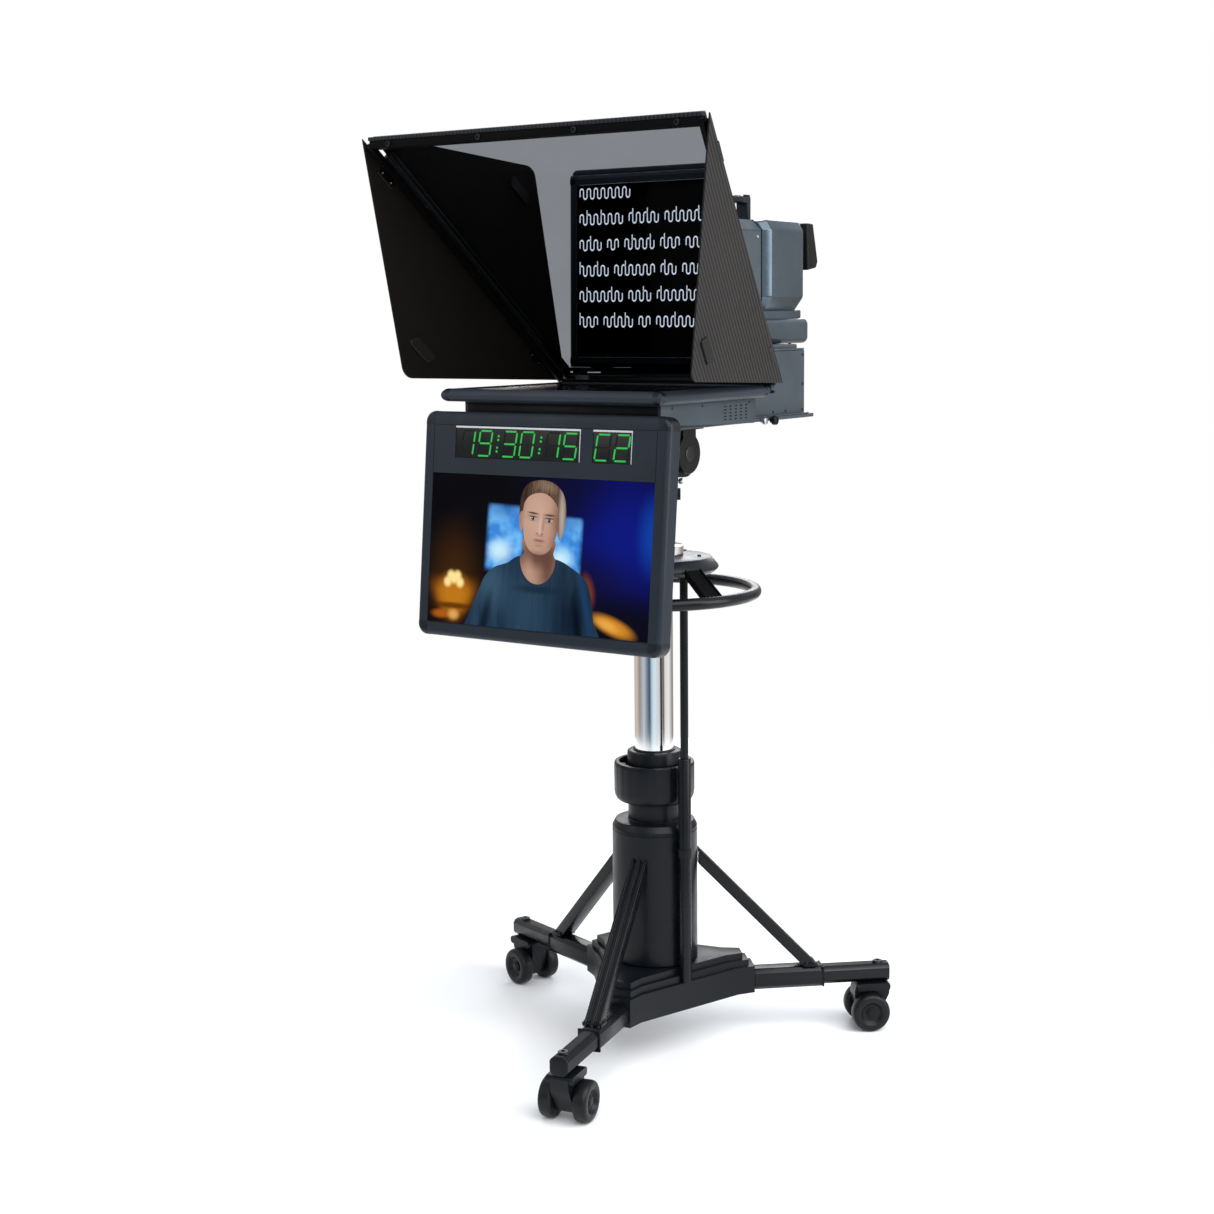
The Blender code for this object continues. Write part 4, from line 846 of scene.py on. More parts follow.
def script_strokes(low, high):
    """Lines of a script as plain running waves, mirrored so that the glass shows them upright."""
    half = BEZEL["half"] - BEZEL["rim"] - 0.008
    first = BEZEL["front"] + BEZEL["rim"] + 0.03
    pitch, space = 0.0545, 0.017
    words = (((15, ()),), ((13, (2, 6)), (9, (1, 5)), (14, (3, 9))),
             ((7, (3,)), (4, ()), (9, (2, 7)), (6, (1,)), (11, (4, 8))),
             ((9, (0, 5)), (12, (3,)), (5, (1,)), (10, (6, 9))), ((13, (2, 9)), (7, (4,)), (12, (1, 8))),
             ((6, (0,)), (9, (3, 6)), (4, ()), (11, (5,)), (8, (2,))))
    bars = []
    for row, line in enumerate(words):
        x = -half
        for count, ascenders in line:
            count = min(count, int((half - x) / 0.0092))
            if count < 2:
                break
            parts, x = wave_word(count, [i for i in ascenders if i < count], x, first + row * pitch, low,
                                 high)
            bars += parts
            x += space
    return join(*bars)


def build_script(place, half, y0, y1):
    """The lit panel under a black mask; its openings are the script, seen only from above."""
    top = BEZEL["high"] - 0.0018
    under = top - 0.0016
    mask = piece("prompter_mask", box((-half, y0, under), (half, y1, top)), PRESSED, "sled",
                 place, ("prompter_screen",))
    cut(mask, helper(script_strokes(under - 0.001, top + 0.001), place), overlapping=True)
    panel = box((-half + 0.001, y0 + 0.001, BEZEL["low"] + 0.0085),
                (half - 0.001, y1 - 0.001, under - 0.0001))
    piece("prompter_panel", panel, LIT_WHITE, "sled", place)


# ---------------------------------------------------------------- mirror glass and hood
def glass_half(along):
    return GLASS_HALVES[0] + (GLASS_HALVES[1] - GLASS_HALVES[0]) * along / GLASS_LENGTH


def hinge_half(along):
    """Distance of a hood panel's hinge line from the middle, at a distance up the glass."""
    turn = hood_frame(1)[0]
    return turn.translation.x - COLUMN.x + turn.col[2].x * along


def build_glass():
    refined("glass_pane", MIRROR, "glass", 0.0005, 1, 40)
    for name in ("glass_bar_left", "glass_bar_right", "glass_bottom_bar"):
        refined(name, BLACK, "glass", 0.0007, 2, 40)
    refined("top_strip", STRIP, "glass", 0.0008, 2, 30)
    low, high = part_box("top_beam")
    foot, slope = low.z + 0.0075, 1 / math.tan(math.radians(GLASS_TURN))
    section = [(low.y, foot), (high.y - (foot - low.z) / slope, foot),
               (high.y - (high.z - low.z) / slope, high.z), (low.y, high.z)]
    beam = prism(section, lambda point, end: ((low.x, high.x)[end], point[0], point[1]))
    bmesh.ops.recalc_face_normals(beam, faces=beam.faces)
    piece("beam_shell", soften(beam, 0.001, 2, 30), FLAT_BLACK, "glass", None, ("top_beam",))
    spots = [((COLUMN.x + x, low.y + 0.0002, 1.9045), (0, -1, 0)) for x in (-0.3355, -0.1115, 0.1115, 0.3355)]
    screw_set("beam_screws", spots, 0.0062, 0.003, BLACK, "glass")
    local = joint_frame("glass_trim", (GLASS_TURN, 0, 0))
    clips = []
    for side in (-1, 1):
        for along in (0.15, 0.33, 0.51):
            x = side * (glass_half(along) - 0.0075)
            clips.append(((x, -0.0102, along), (0, -1, 0)))
        clips.append(((side * 0.215, -0.0099, 0.002), (0, -1, 0)))
    screw_set("glass_bar_screws", clips, 0.003, 0.0012, DARK_STEEL, "glass", local)
    # Flat black seals close the gap between each glass edge and its hood hinge line; their black also stands
    # in for the shade where the hood panels meet the glass bars.
    seals = []
    for side in (-1, 1):
        for start, end, slack in ((0.012, 0.057, 0.0), (0.057, 0.108, 0.0022), (0.108, 0.582, 0.0),
                                  (0.582, 0.633, 0.0022), (0.633, 0.678, 0.0)):
            rings = []
            for along in (start, end):
                inner, outer = side * (glass_half(along) - 0.004), hinge_half(along) - slack
                rings.append([(inner, -0.023, along), (side * (outer - 0.0088), -0.023, along),
                              (side * (outer - 0.0027), -0.0104, along), (inner, -0.0104, along)])
            block = loft(rings)
            bmesh.ops.recalc_face_normals(block, faces=block.faces)
            seals.append(block)
    piece("hood_gap_shade_seals", join(*seals), FLAT_BLACK, "glass", local)


def hood_frame(side):
    """Frame of a hood panel: Z up the hinge line, X across the panel, Y through it; and its flat corners."""
    top = COLUMN + Vector((side * HOOD_TOP[0], HOOD_TOP[1], HOOD_TOP[2]))
    front = COLUMN + Vector((side * HOOD_FRONT[0], HOOD_FRONT[1], HOOD_FRONT[2]))
    rear = COLUMN + Vector((side * HOOD_REAR[0], HOOD_REAR[1], HOOD_REAR[2]))
    foot = rear.lerp(front, HOOD_SETBACK)
    up = (top - foot).normalized()
    across = ((front - foot) - up * (front - foot).dot(up)).normalized()
    turn = Matrix((across, up.cross(across), up)).transposed().to_4x4()
    turn.translation = foot
    flat_rear = Vector(((rear - foot).dot(across), (rear - foot).dot(up)))
    flat_front = Vector(((front - foot).dot(across), (front - foot).dot(up)))
    return turn, flat_rear, flat_front, (top - foot).length


def round_corner(before, corner, after, radius, steps):
    """Points of an arc that replaces a sharp corner of an outline."""
    first = (before - corner).normalized()
    second = (after - corner).normalized()
    half_angle = first.angle(second) / 2
    centre = corner + (first + second).normalized() * radius / math.sin(half_angle)
    start = corner + first * radius / math.tan(half_angle) - centre
    sweep = start.angle_signed(corner + second * radius / math.tan(half_angle) - centre)
    return [centre + Matrix.Rotation(-sweep * i / steps, 2) @ start for i in range(steps + 1)]


def build_hood(side, name):
    """A hood panel: ribbed composite outside, dark lining inside, a pale cut edge and piano hinges."""
    place, rear, front, length = hood_frame(side)
    top = Vector((0.0, length))
    outline = [rear] + round_corner(rear, front, top, 0.026, 16) + [top]
    half = 0.0015
    panel = slab(outline, -half, half)
    panel.normal_update()
    bmesh.ops.recalc_face_normals(panel, faces=panel.faces)
    for face in panel.faces:
        outward = face.normal.y * side
        face.material_index = 0 if outward > 0.9 else (1 if outward < -0.9 else 2)
    # the dark and light colours are the painted shade of the rib grooves and the painted highlight of the
    # crests
    outer = ribbed("ribbed_hood_" + name, RIB_PITCH, tuple(place.col[0][:3]), (0.003, 0.003, 0.003),
                   (0.032, 0.03, 0.029), 0.46)
    piece("hood_shell_" + name, panel, (outer, INNER, CAP), "hood_" + name, place,
          ("hood_panel_" + name,))
    knuckles = []
    for height in HOOD_HINGES:
        for k in range(5):
            low = height + 0.0002 + k * 0.009
            ring = [(0, low), (0.0036, low), (0.004, low + 0.0004), (0.004, low + 0.0082),
                    (0.0036, low + 0.0086), (0, low + 0.0086)]
            knuckles.append(turned(ring, 20))
        leaf = cuboid((0.0035, -side * 0.0016 - 0.0009, height),
                      (0.024, -side * 0.0016 + 0.0009, height + 0.045), 0.0004, 1)
        knuckles.append(leaf)
    piece("hood_hinges_" + name, join(*knuckles), DARK_STEEL, "hood_" + name, place)
    spots = []
    for height in HOOD_HINGES:
        for shift in (0.009, 0.036):
            spots.append(((0.016, -side * 0.0025, height + shift), (0, -side, 0)))
    screw_set("hood_hinge_screws_" + name, spots, 0.0026, 0.0009, STEEL, "hood_" + name,
              place)
    refined("hood_catch_" + name, CATCH, "hood_" + name, 0.0022, 4, 50)


# ---------------------------------------------------------------- talent monitor
def monitor_body(grow, steps=10):
    """The talent monitor's solid outer form, optionally a little larger."""
    half, foot, head = TALENT["half"] + grow, TALENT["foot"] - grow, TALENT["head"] + grow
    outline = rounded((-half, foot), (half, head), TALENT["corner"] + grow, steps)
    bm = slab(outline, TALENT["face"] - grow, TALENT["face"] + TALENT["depth"] + grow)
    bmesh.ops.recalc_face_normals(bm, faces=bm.faces)
    return soften(bm, 0.011 + grow, 6, 60)


def build_talent_monitor():
    place = joint_frame("talent_tilt", (-TALENT_LEAN, 0, 0))
    face, back = TALENT["face"], TALENT["face"] + TALENT["depth"]
    shell = piece("monitor_shell", monitor_body(0.0), SLATE, "talent", None, ("talent_frame",),
                  25)
    holes = [box((-SCREEN["half"], face - 0.01, SCREEN["middle"] - SCREEN["rise"]),
                 (SCREEN["half"], face + 0.006, SCREEN["middle"] + SCREEN["rise"])),
             box((CLOCK[0], face - 0.01, WINDOWS[0]), (CLOCK[1], face + 0.006, WINDOWS[1])),
             box((CUE[0], face - 0.01, WINDOWS[0]), (CUE[1], face + 0.006, WINDOWS[1]))]
    cut(shell, helper(join(*holes)))
    shell.data.shade_smooth()
    shell.data.set_sharp_from_angle(angle=math.radians(25))
    shell.data.transform(place)
    lugs = [cuboid((min(s * 0.061, s * 0.076), back - 0.002, -0.012),
                   (max(s * 0.061, s * 0.076), 0.012, 0.012), 0.0015, 2)
            for s in (-1, 1)]
    piece("monitor_lugs", join(*lugs), BLACK, "talent", place)
    reach = TALENT["half"] - SCREEN["half"]
    blocks = []
    for x0, x1 in ((-0.3, -SCREEN["half"]), (SCREEN["half"], 0.3)):
        for z0, z1 in ((TALENT["foot"] - 0.01, TALENT["foot"] + reach),
                       (TALENT["head"] - reach, TALENT["head"] + 0.01)):
            blocks.append(box((x0, face - 0.01, z0), (x1, back + 0.01, z1)))
    caps = piece("monitor_corners", monitor_body(0.00035), CAP, "talent", None, (), 25)
    cut(caps, helper(join(*blocks)), "INTERSECT")
    caps.data.shade_smooth()
    caps.data.set_sharp_from_angle(angle=math.radians(25))
    caps.data.transform(place)
    build_monitor_trim(place, face, back, reach)
    build_displays(place, face)
    build_picture(place, face)


def build_monitor_trim(place, face, back, reach):
    """Seams of the extruded frame, window lips, and the back cover with its vents."""
    seam = 0.0004
    top = TALENT["head"] - reach
    low = TALENT["foot"] + reach
    lines = [box((-SCREEN["half"], face - 0.0002, top - seam), (SCREEN["half"], face + 0.001, top + seam))]
    for x in (-SCREEN["half"], SCREEN["half"]):
        lines.append(box((x - seam, face - 0.0002, SCREEN["middle"] + SCREEN["rise"]),
                         (x + seam, face + 0.001, top)))
    lines.append(box((-SCREEN["half"], face - 0.0002, low - seam * 0.7),
                     (SCREEN["half"], face + 0.001, low + seam * 0.7)))
    piece("monitor_seams", join(*lines), FLAT_BLACK, "talent", place)
    lips = []
    for x0, x1 in (CLOCK, CUE):
        lips.append(box((x0 + 0.0004, face - 0.0001, WINDOWS[1] - 0.004),
                        (x1 - 0.0004, face + 0.0009, WINDOWS[1] - 0.0004)))
        lips.append(box((x1 - 0.0026, face - 0.0001, WINDOWS[0] + 0.0004),
                        (x1 - 0.0008, face + 0.0009, WINDOWS[1] - 0.004)))
    piece("window_lips", join(*lips), STEEL, "talent", place)
    cover = soften(slab(rounded((-0.235, -0.29), (0.235, -0.06), 0.012, 5), back, back + 0.0012), 0.0005, 2,
                   50)
    piece("monitor_back_cover", cover, BLACK, "talent", place)
    slots = []
    for row in range(6):
        for k in range(15):
            x = -0.196 + k * 0.028
            z = -0.262 + row * 0.0085
            slots.append(box((x - 0.01, back + 0.002, z - 0.0016), (x + 0.01, back + 0.0029, z + 0.0016)))
    piece("monitor_vents", join(*slots), FLAT_BLACK, "talent", place)
    spots = [((x, back + 0.0023, z), (0, 1, 0)) for x in (-0.222, 0.222) for z in (-0.277, -0.1, 0.077)]
    screw_set("monitor_back_screws", spots, 0.0035, 0.0014, DARK_STEEL, "talent", place)


SEGMENTS = {"0": "abcdef", "1": "bc", "2": "abged", "3": "abgcd", "5": "afgcd", "9": "abcdfg", "C": "adef"}


def digit_bars(centre, height, width, lit):
    """Seven slanted bars of a digit as outlines, in the display's plane."""
    stroke, gap = 0.0034, 0.0016
    half_w, half_h = width / 2, height / 2
    slant = 0.13
    ends = {"a": ((-half_w, half_h), (half_w, half_h)), "g": ((-half_w, 0), (half_w, 0)),
            "d": ((-half_w, -half_h), (half_w, -half_h)), "f": ((-half_w, 0), (-half_w, half_h)),
            "b": ((half_w, 0), (half_w, half_h)), "e": ((-half_w, -half_h), (-half_w, 0)),
            "c": ((half_w, -half_h), (half_w, 0))}
    bars = []
    for key, (start, end) in ends.items():
        if (key in lit[0]) != lit[1]:
            continue
        start, end = Vector(start), Vector(end)
        along = (end - start).normalized()
        side = Vector((-along.y, along.x)) * stroke / 2
        start, end = start + along * gap, end - along * gap
        tip = along * stroke / 2
        points = (start, start + tip - side, end - tip - side, end, end - tip + side, start + tip + side)
        bars.append([(centre[0] + p.x + slant * p.y, centre[1] + p.y) for p in points])
    return bars


def build_displays(place, face):
    """Green seven-segment clock and cue number behind dark windows."""
    for name, (x0, x1) in (("clock_window", CLOCK), ("cue_window", CUE)):
        glass = cuboid((x0 + 0.0003, face + 0.0012, WINDOWS[0] + 0.0003),
                       (x1 - 0.0003, face + 0.0057, WINDOWS[1] - 0.0003), 0.0003, 1)
        piece(name + "_glass", glass, PRESSED, "talent", place, (name,))
    middle = (WINDOWS[0] + WINDOWS[1]) / 2 - 0.0018
    clock = (("1", 0.031), ("9", 0.0735), ("3", 0.134), ("0", 0.176), ("1", 0.2375), ("5", 0.279))
    digits = [(text, CLOCK[0] + x) for text, x in clock] + [("C", CUE[0] + 0.0225), ("2", CUE[0] + 0.0665)]
    for name, look, is_lit, front in (("digits_lit", LIT_GREEN, True, 0.0004),
                                      ("digits_unlit", DIM_GREEN, False, 0.0007)):
        bars = []
        for text, x in digits:
            for outline in digit_bars((x, middle), 0.049, 0.03, (SEGMENTS[text], is_lit)):
                bars.append(slab(outline, face + front, face + 0.0011))
        if is_lit:
            for x in (CLOCK[0] + 0.105, CLOCK[0] + 0.2085):
                for z in (-0.015, -0.0075, 0.0075, 0.015):
                    dot = rounded((x + 0.13 * z - 0.0023, middle + z - 0.0023),
                                  (x + 0.13 * z + 0.0023, middle + z + 0.0023), 0.0022, 3)
                    bars.append(slab(dot, face + front, face + 0.0011))
        piece(name, join(*bars), look, "talent", place)


# ---------------------------------------------------------------- the picture on the talent screen
class Painting(Look):
    """Soft shapes laid over each other in the plane of a screen, in metres from its middle."""

    def __init__(self, name, ground):
        super().__init__(name)
        self.colour = self.mix(self.span(self.noise(9.0, 3.0), 0.3, 0.7), shade(ground, 0.85),
                               shade(ground, 1.15))

    def local(self, centre, radii, angle):
        return self.mapped((*radii, 1.0), (*centre, 0.0), angle, "TEXTURE")

    def blob(self, centre, radii, angle=0.0, soft=0.5):
        """An ellipse that fades from the full value at 1 - soft of its radius to nothing at 1 + soft."""
        reach = self.node("ShaderNodeVectorMath", operation="LENGTH")
        self.feed(reach.inputs[0], self.local(centre, radii, angle))
        return self.span(reach.outputs["Value"], 1 + soft, max(1 - soft, 0.0), smooth=True)

    def patch(self, centre, halves, angle=0.0, soft=0.1):
        """A soft-edged rectangle."""
        split = self.node("ShaderNodeSeparateXYZ")
        self.feed(split.inputs[0], self.local(centre, halves, angle))
        edge = soft * min(halves)
        masks = []
        for output, half in zip(split.outputs, halves):
            reach = self.math("ABSOLUTE", output)
            masks.append(self.span(reach, 1 + edge / half, 1 - edge / half, smooth=True))
        return self.math("MULTIPLY", *masks)

    def lay(self, mask, colour, amount=1.0):
        if amount != 1.0:
            mask = self.math("MULTIPLY", mask, amount)
        self.colour = self.mix(mask, self.colour, colour)

    def dab(self, centre, radii, angle, soft, colour, amount=1.0):
        self.lay(self.blob(centre, radii, angle, soft), colour, amount)

    def streaks(self, mask, light, dark, scale, angle=0.0):
        """Fine strands of two colours inside a mask."""
        strands = self.span(self.noise(1.0, 4.0, 0.65, self.mapped(scale, angle=angle)), 0.35, 0.65)
        self.lay(mask, self.mix(strands, dark, light))

    def lit(self, strength=1.0):
        self.set(base_color=(0.0, 0.0, 0.0), roughness=0.3, specular_ior_level=0.0,
                 emission_strength=strength)
        self.set(emission_color=self.colour)
        return self.material


def smooth_outline(points, steps=8):
    """A closed smooth curve through points."""
    count = len(points)
    curve = []
    for i in range(count):
        a, b, c, d = (Vector(points[(i + k) % count]) for k in (-1, 0, 1, 2))
        for k in range(steps):
            t = k / steps
            curve.append(tuple(0.5 * (2 * b + (c - a) * t + (2 * a - 5 * b + 4 * c - d) * t * t
                                      + (3 * b - a - 3 * c + d) * t ** 3)))
    return curve


LAYER_STEP = 0.00008          # gap between the picture's layers


def picture_layer(name, outline, level, look, place, inner=None):
    """A flat shape on the screen, or the band between two open curves; the level is its depth order."""
    bm = bmesh.new()
    rim = [bm.verts.new((x, y, 0.0)) for x, y in outline]
    if inner:
        edge = [bm.verts.new((x, y, 0.0)) for x, y in inner]
        for i in range(len(rim) - 1):
            bm.faces.new((rim[i], rim[i + 1], edge[i + 1], edge[i]))
    else:
        bm.faces.new(rim)
    bmesh.ops.triangulate(bm, faces=bm.faces)
    mesh = mesh_of(name, bm)
    mesh.materials.append(look)
    made = placed(name, mesh, place @ Matrix.Translation((0, 0, LAYER_STEP * level)))
    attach(made, "talent")
    return made


def studio_background():
    """A dark blue studio, out of focus, with two bright wall screens and warm lamps."""
    art = Painting("picture_studio", (0.0042, 0.004, 0.0055))
    art.dab((0.185, 0.05), (0.12, 0.15), 0, 0.75, (0.005, 0.006, 0.12), 0.92)
    art.dab((0.215, 0.035), (0.095, 0.08), 0, 0.85, (0.005, 0.012, 0.23), 0.75)
    art.dab((0.268, 0.05), (0.026, 0.055), 0, 0.85, (0.006, 0.06, 0.4), 0.8)
    art.dab((0.06, 0.12), (0.08, 0.05), 0, 0.9, (0.005, 0.006, 0.03), 0.7)
    art.dab((0.1, -0.05), (0.11, 0.05), 0, 0.8, (0.006, 0.006, 0.03), 0.8)
    art.dab((0.19, -0.125), (0.12, 0.055), 0, 0.6, (0.004, 0.004, 0.008), 0.85)
    art.dab((-0.201, -0.06), (0.05, 0.08), 0, 0.9, (0.06, 0.022, 0.005), 0.75)
    for centre, halves in (((-0.078, 0.026), (0.042, 0.062)), ((0.066, 0.016), (0.036, 0.056))):
        mask = art.patch(centre, halves, -2.0, 0.2)
        art.lay(mask, (0.045, 0.24, 0.72))
        cloud = art.math("MULTIPLY", mask, art.span(art.noise(24.0, 2.0), 0.4, 0.62))
        art.lay(cloud, (0.2, 0.58, 0.96), 0.8)
        glow = art.math("MULTIPLY", mask,
                        art.blob((centre[0] - 0.012, centre[1] - 0.024), (0.024, 0.018), 0, 0.9))
        art.lay(glow, (0.7, 0.95, 1.0), 0.8)
        shadow = art.math("MULTIPLY", mask,
                          art.blob((centre[0], centre[1] + halves[1]), (0.05, 0.02), 0, 0.8))
        art.lay(shadow, (0.04, 0.15, 0.48), 0.7)
    cone = art.math("MULTIPLY", art.patch((-0.201, -0.112), (0.052, 0.044), 0, 0.5),
                    art.patch((-0.201, -0.058), (0.062, 0.062), 45, 0.3))
    art.lay(cone, (0.36, 0.115, 0.008), 0.95)
    art.dab((-0.201, -0.088), (0.034, 0.034), 0, 0.55, (0.56, 0.2, 0.012), 0.8)
    art.dab((-0.201, -0.114), (0.044, 0.006), 0, 0.6, (0.06, 0.016, 0.002), 0.8)
    art.dab((-0.232, -0.132), (0.02, 0.008), 0, 0.6, (0.5, 0.12, 0.008), 0.8)
    art.dab((-0.2, -0.132), (0.012, 0.009), 0, 0.7, (0.85, 0.45, 0.12), 0.8)
    for x, y in ((-0.209, -0.054), (-0.193, -0.054), (-0.217, -0.067), (-0.186, -0.067), (-0.201, -0.06)):
        art.dab((x, y), (0.0088, 0.0092), 0, 0.6, (1.0, 0.78, 0.3))
    art.dab((0.184, -0.126), (0.046, 0.015), -18, 0.45, (0.6, 0.23, 0.018))
    art.dab((0.172, -0.124), (0.024, 0.008), -18, 0.8, (0.85, 0.43, 0.08), 0.8)
    art.dab((0.124, -0.062), (0.012, 0.026), 15, 0.7, (0.24, 0.045, 0.008), 0.8)
    return art.lit()


def shirt_art():
    art = Painting("picture_shirt", (0.018, 0.044, 0.082))
    art.streaks(art.blob((0, -0.08), (0.3, 0.2), 0, 0.2), (0.023, 0.054, 0.098), (0.011, 0.027, 0.052),
                (34.0, 5.0, 1.0), 8)
    art.dab((-0.11, -0.062), (0.03, 0.044), 25, 0.9, (0.046, 0.1, 0.16), 0.8)
    art.dab((-0.03, -0.105), (0.03, 0.06), 6, 0.9, (0.03, 0.068, 0.115), 0.7)
    art.dab((0.092, -0.12), (0.03, 0.06), -10, 0.8, (0.004, 0.009, 0.02), 0.85)
    art.dab((0.05, -0.09), (0.016, 0.06), -6, 0.9, (0.008, 0.018, 0.036), 0.6)
    art.dab((0.118, -0.085), (0.007, 0.07), 14, 0.9, (0.012, 0.05, 0.13), 0.8)
    art.dab((-0.122, -0.14), (0.01, 0.05), -12, 0.8, (0.004, 0.01, 0.02), 0.85)
    art.dab((0.104, -0.14), (0.008, 0.05), 10, 0.8, (0.002, 0.005, 0.01), 0.85)
    art.dab((0.004, -0.068), (0.044, 0.008), 0, 0.7, (0.008, 0.02, 0.038), 0.7)
    return art.lit()


def skin_art():
    """A calm young presenter in soft key light from the left; generic, drawn to textbook proportions."""
    eyes, brows, nose, mouth = 0.068, 0.0785, 0.0405, 0.0265
    light, base, dark = (0.62, 0.4, 0.31), (0.44, 0.245, 0.175), (0.15, 0.066, 0.045)
    art = Painting("picture_skin", base)
    art.dab((-0.012, 0.07), (0.036, 0.062), 0, 0.8, light, 0.8)
    art.dab((0.05, 0.06), (0.018, 0.085), 0, 0.9, dark, 0.85)
    art.dab((-0.053, 0.055), (0.009, 0.06), -4, 0.9, dark, 0.4)
    art.dab((0.0, -0.01), (0.046, 0.012), 0, 0.7, (0.14, 0.06, 0.042), 0.7)
    for side in (-1, 1):
        x = side * 0.0195
        art.dab((x, eyes + 0.004), (0.0135, 0.0075), 0, 0.9, dark, 0.32)
        art.dab((x + side * 0.0005, brows), (0.0118, 0.0017), side * 2, 0.6, (0.045, 0.025, 0.015), 0.92)
        art.dab((x, eyes), (0.009, 0.0036), 0, 0.22, (0.42, 0.37, 0.35), 0.95)
        art.dab((x, eyes), (0.0036, 0.0037), 0, 0.2, (0.04, 0.06, 0.07))
        art.dab((x, eyes), (0.0016, 0.0017), 0, 0.3, (0.004, 0.004, 0.005))
        art.dab((x - 0.0014, eyes + 0.0014), (0.0008, 0.0008), 0, 0.5, (0.9, 0.92, 0.95))
        art.dab((x, eyes + 0.0038), (0.0098, 0.0012), side * 2, 0.5, (0.03, 0.014, 0.01), 0.9)
        art.dab((x, eyes - 0.0042), (0.0085, 0.001), 0, 0.8, dark, 0.35)
        art.dab((side * 0.026, 0.044), (0.013, 0.01), 0, 0.9, (0.6, 0.29, 0.23), 0.3)
        art.dab((side * 0.0058, nose), (0.0026, 0.0013), -side * 20, 0.6, (0.11, 0.042, 0.032), 0.75)
    art.dab((0.0062, 0.056), (0.0034, 0.016), -5, 0.9, dark, 0.35)
    art.dab((-0.0006, 0.058), (0.003, 0.018), 0, 0.9, (0.74, 0.52, 0.43), 0.5)
    art.dab((0.0, nose + 0.004), (0.006, 0.0042), 0, 0.8, (0.68, 0.44, 0.35), 0.45)
    art.dab((0.0, nose - 0.0036), (0.008, 0.0024), 0, 0.8, dark, 0.35)
    art.dab((0.0, mouth + 0.0016), (0.013, 0.0022), 0, 0.5, (0.37, 0.14, 0.125), 0.8)
    art.dab((0.0, mouth - 0.003), (0.0108, 0.003), 0, 0.5, (0.5, 0.215, 0.19), 0.75)
    art.dab((0.0, mouth - 0.0004), (0.014, 0.0007), 0, 0.5, (0.13, 0.038, 0.034), 0.85)
    art.dab((0.0, mouth - 0.0095), (0.0085, 0.0022), 0, 0.8, dark, 0.28)
    return art.lit()


def neck_art():
    art = Painting("picture_neck", (0.36, 0.195, 0.14))
    art.dab((0.002, -0.002), (0.046, 0.022), 0, 0.7, (0.11, 0.048, 0.034), 0.85)
    art.dab((0.028, -0.03), (0.016, 0.04), 0, 0.9, (0.11, 0.05, 0.036), 0.8)
    art.dab((-0.016, -0.04), (0.012, 0.03), 10, 0.9, (0.56, 0.35, 0.265), 0.6)
    return art.lit()


def hair_art(name, turn):
    """Swept brown hair in fine strands, fairer on the side away from the key light."""
    art = Painting(name, (0.075, 0.042, 0.027))
    art.streaks(art.blob((0, 0.1), (0.3, 0.3), 0, 0.1), (0.19, 0.118, 0.078), (0.022, 0.012, 0.008),
                (240.0, 24.0, 1.0), turn)
    art.dab((-0.046, 0.1), (0.014, 0.045), -8, 0.9, (0.02, 0.011, 0.008), 0.75)
    art.dab((0.006, 0.134), (0.022, 0.01), -10, 0.9, (0.34, 0.23, 0.165), 0.55)
    art.dab((0.049, 0.078), (0.007, 0.05), 4, 0.9, (0.56, 0.47, 0.4), 0.75)
    return art.lit()


